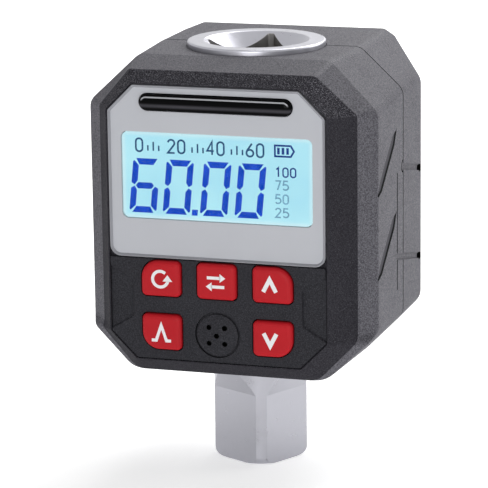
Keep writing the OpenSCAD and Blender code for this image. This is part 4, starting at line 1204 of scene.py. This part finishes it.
def polygon(points):
    bm = bmesh.new()
    bm.faces.new([bm.verts.new((p[0], 0, p[1])) for p in points])
    return bm


def arc(centre, radius, start, end, steps=20):
    """Points of an arc, angles in degrees from +X towards +Z."""
    made = []
    for i in range(steps + 1):
        a = math.radians(start + (end - start) * i / steps)
        made.append((centre[0] + radius * math.cos(a), centre[1] + radius * math.sin(a)))
    return made


legend_t = 0.03
legend_w = 0.52


def legend(key, meshes):
    return raised(f"legend_{key}", meshes, key_low.y, legend_t, legend_white, f"{key}_key")


def clear_legend():
    """Round arrow for clearing the reading."""
    x, z = KEYS["clear"][:2]
    ring = stroke(arc((x, z), 1.35, 50, 345), legend_w)
    tip = polygon([(x + 0.4, z - 0.36), (x + 2.1, z - 0.36), (x + 1.25, z + 0.75)])
    return legend("clear", [ring, tip])


def unit_legend():
    """Two opposed arrows for changing the unit."""
    x, z = KEYS["unit"][:2]
    parts = []
    for side in (-1, 1):
        h = z + side * 0.75
        parts.append(stroke([(x - side * 1.5, h), (x + side * 0.8, h)], legend_w))
        parts.append(polygon([(x + side * 0.7, h + 0.75), (x + side * 1.7, h), (x + side * 0.7, h - 0.75)]))
    return legend("unit", parts)


def mode_legend():
    """Pulse with a peak for changing the measuring mode."""
    x, z = KEYS["mode"][:2]
    line = [(-1.7, -1.1), (-0.9, -1.1), (0.0, 1.5), (0.9, -1.1), (1.7, -1.1)]
    return legend("mode", [stroke([(x + a, z + b - 0.3) for a, b in line], legend_w)])


def chevron_legend(key, turn):
    x, z = KEYS[key][:2]
    x -= 0.35
    line = [(-1.1, -1.05 * turn), (0, 1.05 * turn), (1.1, -1.05 * turn)]
    return legend(key, [stroke([(x + a, z + b) for a, b in line], 0.7)])


# Display marks, all on the front of the display glass
ink_y = seat_y - 0.06
ink_t = 0.03
digit_h = 9.2
digit_w = 4.75
digit_t = 1.05
digit_low = 47.6
digit_slant = 0.1
digit_gap = 0.16
digit_places = [-15.4, -9.55, -3.05, 2.95]
SEGMENTS = {"6": "acdefg", "0": "abcdef"}


def segment_shapes():
    """The seven segments of a digit, with slanted gaps between them."""
    w, h, t, g = digit_w, digit_h, digit_t, digit_gap
    m = h / 2
    c = t * 0.35
    return {
        "a": [(c + g, h), (w - c - g, h), (w - t - g * 0.6, h - t), (t + g * 0.6, h - t)],
        "f": [(0, h - c - g), (c * 0.6, h - c * 0.6 - g), (t, h - t - g), (t, m + t * 0.75), (t * 0.55, m + g * 0.7),
              (0, m + t * 0.45)],
        "e": [(0, c + g), (c * 0.6, c * 0.6 + g), (t, t + g), (t, m - t * 0.75), (t * 0.55, m - g * 0.7), (0, m - t * 0.45)],
        "g": [(t * 0.6 + g, m), (t + g, m + t / 2), (w - t - g, m + t / 2), (w - t * 0.6 - g, m), (w - t - g, m - t / 2),
              (t + g, m - t / 2)],
    } | {
        "d": [(c + g, 0), (w - c - g, 0), (w - t - g * 0.6, t), (t + g * 0.6, t)],
    }


def digit_meshes(text, left):
    shapes = segment_shapes()
    for mirror_of, name in (("f", "b"), ("e", "c")):
        shapes[name] = [(digit_w - x, z) for x, z in shapes[mirror_of]]
    meshes = []
    for name in SEGMENTS[text]:
        meshes.append(polygon([(left + x + z * digit_slant, digit_low + z) for x, z in shapes[name]]))
    return meshes


def big_number():
    meshes = []
    for text, left in zip("6000", digit_places):
        meshes += digit_meshes(text, left)
    point = [(0, 0), (1.0, 0), (1.1, 1.0), (0.1, 1.0)]
    meshes.append(polygon([(-4.45 + x, digit_low - 0.05 + z) for x, z in point]))
    return raised("display_number", meshes, ink_y, ink_t, digit_ink, "adapter")


# Thin numerals as lines in a box one wide and two high
NUMERALS = {
    "0": [arc((0.5, 1.5), 0.5, 0, 180, 8) + arc((0.5, 0.5), 0.5, 180, 360, 8) + [(1.0, 1.5)]],
    "1": [[(0.2, 1.6), (0.6, 2.0), (0.6, 0.0)]],
    "2": [arc((0.5, 1.5), 0.5, 170, -40, 10) + [(0.0, 0.0), (1.0, 0.0)]],
    "4": [[(1.0, 0.6), (0.0, 0.6), (0.75, 2.0), (0.75, 0.0)]],
    "5": [[(0.95, 2.0), (0.15, 2.0), (0.05, 1.15)] + arc((0.45, 0.65), 0.6, 110, -140, 12)],
    "6": [[(0.8, 2.0), (0.1, 0.95)] + arc((0.5, 0.55), 0.52, 160, 510, 14)],
    "7": [[(0.0, 2.0), (1.0, 2.0), (0.4, 0.0)]],
    "8": [arc((0.5, 1.5), 0.42, -90, 270, 12), arc((0.5, 0.54), 0.52, 90, 450, 12)],
}


def numeral_meshes(text, left, low, height, width, spacing, line_w):
    meshes = []
    for i, sign in enumerate(text):
        for line in NUMERALS[sign]:
            points = [(left + i * spacing + x * width, low + z * height / 2) for x, z in line]
            meshes.append(stroke(points, line_w))
    return meshes


def scale_row():
    """Row of plain numbers with ticks between them, over the reading."""
    meshes = []
    low, height = 57.95, 2.2
    for text, left in (("0", -14.0), ("20", -8.4), ("40", -1.6), ("60", 5.2)):
        meshes += numeral_meshes(text, left, low, height, 1.15, 1.75, 0.3)
    for start in (-11.9, -4.2, 2.6):
        for i in range(3):
            x = start + i * 0.95
            tall = 1.5 if i == 1 else 0.9
            meshes.append(stroke([(x, low + 0.2), (x, low + 0.2 + tall)], 0.26))
    return raised("display_scale", meshes, ink_y, ink_t, scale_ink, "adapter")


def level_column():
    """Column of plain numbers at the right, the first one lit."""
    rows = [("100", 54.85, mark_ink), ("75", 52.65, pale_ink), ("50", 50.35, pale_ink), ("25", 48.05, pale_ink)]
    pieces = []
    for text, low, ink in rows:
        meshes = numeral_meshes(text, 10.1, low, 1.5, 0.85, 1.3, 0.24)
        pieces.append(raised(f"display_level_{text}", meshes, ink_y, ink_t, ink, "adapter"))
    return pieces


def battery_mark():
    low, high, left, right = 58.25, 60.05, 9.95, 12.95
    mid = (low + high) / 2
    frame_line = [(left + 0.1, low), (right - 0.2, low), (right + 0.35, mid), (right - 0.2, high), (left + 0.1, high)]
    meshes = [stroke(frame_line, 0.3, closed=True)]
    for i in range(3):
        x = left + 0.7 + i * 0.78
        meshes.append(stroke([(x, low + 0.35), (x, high - 0.35)], 0.42))
    return raised("display_battery", meshes, ink_y, ink_t, mark_ink, "adapter")


def lcd_glass():
    glass_low, glass_high = node_box("lcd_glass")
    rings = [flat(rect_outline(window_low, window_high, window_r), y) for y in (seat_y, floor_y + 0.05)]
    body = raw_object("lcd_glass_dressed", solid(rings))
    plate = [(glass_low.x, glass_low.z), (glass_high.x, glass_low.z), (glass_high.x, glass_high.z), (glass_low.x, glass_high.z)]
    combine(body, prism([Vector(p) for p in plate], floor_y, glass_high.y), "UNION")
    coloured(body, display_glow)
    return finish_piece(body, "adapter", ["lcd_glass"])


# Steel transducer
drive_half = 6.35
flat_len = 12.6
runout = math.radians(22)
drive_turn = 17.5
socket_half = 6.415
socket_corner_r = 8.6
socket_floor = head_top - 16
countersink_r = 8.9
saddle_z = head_top - 12.4
neck_r = 6.75
collar_r = 10
collar_low = case_low + case_wall + 0.8
collar_top = collar_low + 4.5
neck_cone = 1.625
head_low = head_top - 21.5
# The end face stays clear of the ground by the overshoot of its rounded edge
foot_z = 0.03
end_round_r = 1.3


def chamfer_arc(radius, height, size, inward, upward, steps=4):
    """Rounded edge of a turned part between its wall and its face."""
    rows = []
    for i in range(steps + 1):
        a = math.pi / 2 * i / steps
        if inward:
            rows.append((radius - size + size * math.cos(a), height - upward * size + upward * size * math.sin(a)))
        else:
            rows.append((radius - size + size * math.sin(a), height - upward * size + upward * size * math.cos(a)))
    return rows


def end_round(radius, size, steps=5):
    """Rounded lower end of the bar, from its end face up to its wall."""
    rows = []
    for i in range(steps + 1):
        a = math.pi / 2 * i / steps
        rows.append((radius - size + size * math.sin(a), foot_z + size * (1 - math.cos(a))))
    return rows


def drive_flat_cutter(turn):
    run = (bar_r - drive_half) / math.tan(runout)
    outline = [(drive_half, -1), (2 * bar_r, -1), (2 * bar_r, flat_len + run * 2),
               (drive_half + (bar_r - drive_half) * 2, flat_len + run * 2), (drive_half, flat_len)]
    cutter = prism([Vector(p) for p in outline], -bar_r, bar_r)
    bmesh.ops.rotate(cutter, verts=cutter.verts, matrix=Matrix.Rotation(math.radians(turn), 3, "Z"))
    return cutter


def socket_cutter():
    """Square of the socket with its corners on a circle."""
    a0 = math.acos(socket_half / socket_corner_r)
    points = []
    for side in range(4):
        for i in range(9):
            a = math.radians(90 * side + 45) + (a0 + (math.pi / 2 - 2 * a0) * i / 8)
            points.append((socket_corner_r * math.cos(a), socket_corner_r * math.sin(a)))
    return solid([[Vector((x, y, z)) for x, y in points] for z in (socket_floor, head_top + 1)])


def transducer_body():
    profile = [(0, foot_z), (bar_r - 1.5, foot_z)] + end_round(bar_r, end_round_r)
    profile += [(bar_r, collar_low), (collar_r, collar_low),
               (collar_r, collar_top), (neck_r, collar_top + neck_cone), (neck_r, head_low - neck_cone),
               (head_r - 0.45, head_low)]
    profile += [(head_r, head_low + 0.45), (head_r, head_top - 0.45)]
    profile += chamfer_arc(head_r, head_top, 0.3, True, 1)
    profile += [(countersink_r + 0.15, head_top), (countersink_r, head_top - 0.08), (0, head_top - 0.08 - countersink_r)]
    body = raw_object("transducer_body_dressed", turned(profile, 160))
    coloured(body, tool_steel)
    for turn in range(4):
        combine(body, drive_flat_cutter(drive_turn - 45 + 90 * turn), material=tool_steel)
    combine(body, socket_cutter(), material=socket_steel)
    for side in (-1, 1):
        x0, x1 = sorted((side * (head_r - 1.7), side * (head_r + 1)))
        corners = [Vector(p) for p in ((x0, saddle_z), (x1, saddle_z), (x1, saddle_z + 2.4), (x0, saddle_z + 2.4))]
        combine(body, prism(corners, -head_r, head_r), material=tool_steel)
    hole = turned([(0, 1.3), (1.65, 1.3), (1.65, 14), (0, 14)], 32)
    turn = Matrix.Rotation(math.radians(drive_turn + 45), 3, "Z") @ Matrix.Rotation(math.radians(90), 3, "Y")
    bmesh.ops.rotate(hole, verts=hole.verts, matrix=turn)
    bmesh.ops.translate(hole, verts=hole.verts, vec=(0, 0, 6))
    combine(body, hole, material=tool_steel)
    return finish_piece(body, "adapter", ["transducer_body"], sharp_angle=14, bevel=0.07, bevel_angle=14)


# Battery door and screws

def battery_door():
    rings = [
        flat(door_outline(0.0), door_low.y),
        flat(door_outline(0.0), case_back - 0.25),
        flat(door_outline(-0.07), case_back - 0.07),
        flat(door_outline(-0.25), case_back),
        flat(door_outline(-1.2), case_back),
    ]
    door = raw_object("battery_door_dressed", solid(rings))
    coloured(door, shell_plastic)
    screw_low, screw_high = node_box("door_screws")
    reach = (screw_high.z - screw_low.z) / 2 - 1.7
    # The walls of the screw holes take painted shade
    for z in (case_mid - reach, case_mid + reach):
        combine(door, rod_y(1.0, door_low.y - 1, case_back + 1, 0, z), material=painted_shade)
        combine(door, rod_y(1.8, case_back - 0.5, case_back + 1, 0, z), material=shell_plastic)
    return finish_piece(door, "door", ["battery_door"])


def cross_screw(name, places, seat, head_r_, head_h, shank_r, length, body, node):
    """Group of screws with rounded heads and a cross recess."""
    screws = raw_object(name, bmesh.new())
    for x, z in places:
        profile = [(0, seat - length), (shank_r * 0.7, seat - length), (shank_r, seat - length + shank_r * 0.5),
                   (shank_r, seat), (head_r_, seat), (head_r_, seat + head_h * 0.6),
                   (head_r_ * 0.88, seat + head_h * 0.9), (head_r_ * 0.7, seat + head_h), (0, seat + head_h)]
        one = raw_object("one", turned(profile, 40, "Y", (x, 0, z)))
        for turn in (0, 90):
            w, l = head_r_ * 0.14, head_r_ * 0.62
            a, b = (l, w) if turn else (w, l)
            cross = [Vector((x - a, z - b)), Vector((x + a, z - b)), Vector((x + a, z + b)), Vector((x - a, z + b))]
            combine(one, prism(cross, seat + head_h * 0.35, seat + head_h + 1))
        bm = bmesh.new()
        bm.from_mesh(screws.data)
        bm.from_mesh(one.data)
        bm.to_mesh(screws.data)
        bm.free()
        bpy.data.objects.remove(one)
    screws.data.materials.clear()
    coloured(screws, screw_steel)
    return finish_piece(screws, body, [node])


def all_screws():
    shell_places = [(x, z) for x in (-pillar_x, pillar_x) for z in (case_mid - pillar_rise, case_mid + pillar_rise)]
    cross_screw("shell_screws_dressed", shell_places, screw_seat_y, 2.2, 1.7, 1.2, 16, "adapter", "shell_screws")
    screw_low, screw_high = node_box("door_screws")
    reach = (screw_high.z - screw_low.z) / 2 - 1.7
    door_places = [(0, case_mid - reach), (0, case_mid + reach)]
    cross_screw("door_screws_dressed", door_places, case_back - 0.5, 1.7, 0.5, 0.9, 6, "door", "door_screws")


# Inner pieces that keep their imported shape

def paint_inner_nodes():
    finishes = {
        "board_green": smooth_plastic("board_green", srgb("1f6b3a"), 0.3, coat=0.4),
        "chip_black": smooth_plastic("chip_black", srgb("1b1b1d"), 0.5),
        "frame_white": smooth_plastic("frame_white", srgb("e2e2e2"), 0.5),
        "diffuser": smooth_plastic("diffuser", srgb("f0f4f5"), 0.4),
        "zebra": smooth_plastic("zebra", srgb("2a2a2e"), 0.7),
        "led_resin": smooth_plastic("led_resin", srgb("f2edcf"), 0.2),
        "switch_metal": steel("switch_metal", srgb("c4c4c8"), 0.35),
        "plunger_black": smooth_plastic("plunger_black", srgb("242426"), 0.5),
        "buzzer_black": smooth_plastic("buzzer_black", srgb("1c1c1f"), 0.5),
        "plug_nylon": smooth_plastic("plug_nylon", srgb("e8e2cf"), 0.45),
        "lead_red": smooth_plastic("lead_red", srgb("b42626"), 0.45),
        "cell_can": smooth_plastic("cell_can", srgb("3a7d44"), 0.25, coat=0.5),
        "pad_foam": smooth_plastic("pad_foam", srgb("434347"), 0.9, bump=0.4),
        "gauge_foil": smooth_plastic("gauge_foil", srgb("c98a3a"), 0.35),
        "tool_steel": tool_steel, "ball_steel": ball_steel, "spring_steel": spring_steel, "screw_steel": screw_steel,
        "seal_rubber": seal_rubber, "contact_brass": contact_brass, "shell_plastic": shell_plastic,
        "bezel_plastic": bezel_plastic, "plate_film": plate_film, "window_plastic": window_clear, "lcd": display_glow,
        "smoked_lens": lens_black, "key_red": key_red,
    }
    for row in frame["record"]["subparts"]:
        mesh = frame["nodes"][row["node"]].data
        mesh.materials.clear()
        mesh.materials.append(finishes[row["material_slot"]])


# Camera, light and ground
view_azimuth = math.radians(17.472)
view_elevation = math.radians(13.227)
view_roll = math.radians(0.727)
view_target = Vector((1.61, -13.75, 40.90)) * MM
view_distance = 487.16 * MM


def camera():
    data = bpy.data.cameras.new("camera")
    data.lens = 213.24
    data.sensor_width = 36
    cam = bpy.data.objects.new("camera", data)
    bpy.context.scene.collection.objects.link(cam)
    back = Vector((math.sin(view_azimuth) * math.cos(view_elevation), -math.cos(view_azimuth) * math.cos(view_elevation),
                   math.sin(view_elevation)))
    right = Vector((math.cos(view_azimuth), math.sin(view_azimuth), 0))
    up = back.cross(right)
    turn = Matrix((right, up, back)).transposed().to_4x4() @ Matrix.Rotation(-view_roll, 4, "Z")
    cam.matrix_world = Matrix.Translation(view_target + back * view_distance) @ turn
    data.clip_start = 0.01
    data.clip_end = 10
    bpy.context.scene.camera = cam


def area_light(name, place, target, size, power, mirrored=True):
    data = bpy.data.lights.new(name, "AREA")
    data.energy = power
    data.size = size
    lamp = bpy.data.objects.new(name, data)
    bpy.context.scene.collection.objects.link(lamp)
    lamp.visible_glossy = mirrored
    lamp.location = place
    lamp.rotation_euler = (Vector(target) - Vector(place)).to_track_quat("-Z", "Y").to_euler()


def lights():
    centre = (0, 0, 0.045)
    area_light("top_softbox", (0.12, 0.5, 0.52), centre, 0.5, 4.1)
    area_light("right_softbox", (0.55, 0.45, 0.25), centre, 0.4, 1.25)
    area_light("front_softbox", (0.1, -0.7, 0.04), centre, 0.4, 2.05)
    area_light("back_softbox", (-0.2, 0.6, 0.3), centre, 0.5, 0.7, mirrored=False)


def seen_share(tree):
    """One where the camera, a mirror or glass sees a surface, and nothing where it lights others."""
    path = tree.nodes.new("ShaderNodeLightPath")
    through = add_math(tree, "MAXIMUM", path.outputs["Is Glossy Ray"], path.outputs["Is Transmission Ray"])
    return add_math(tree, "MAXIMUM", path.outputs["Is Camera Ray"], through)


def world():
    scene = bpy.context.scene
    scene.world = bpy.data.worlds.new("world")
    scene.world.use_nodes = True
    tree = scene.world.node_tree
    background = tree.nodes["Background"]
    background.inputs["Color"].default_value = (1, 1, 1, 1)
    tree.links.new(add_range(tree, seen_share(tree), 0, 1, 0.34, 1.0), background.inputs["Strength"])


def ground():
    bm = bmesh.new()
    bmesh.ops.create_grid(bm, x_segments=1, y_segments=1, size=3)
    floor = raw_object("floor", bm)
    floor.location.z = -0.0001
    mat, tree, node = shader("floor_paper", (0.9, 0.9, 0.9), 0.9, specular=0.1)
    node.inputs["Emission Color"].default_value = (1, 1, 1, 1)
    tree.links.new(add_range(tree, seen_share(tree), 0, 1, 0.4, 0.5), node.inputs["Emission Strength"])
    coloured(floor, mat)


camera()
lights()
world()
ground()
paint_inner_nodes()
front_shell()
rear_shell()
front_bezel()
faceplate()
window_piece()
lcd_glass()
keypad_panel()
light_bar_lens()
buzzer_grille()
for key_name in KEYS:
    key_cap(key_name)
clear_legend()
unit_legend()
mode_legend()
chevron_legend("up", 1)
chevron_legend("down", -1)
big_number()
scale_row()
level_column()
battery_mark()
transducer_body()
battery_door()
all_screws()

bpy.context.scene.view_settings.view_transform = "Standard"
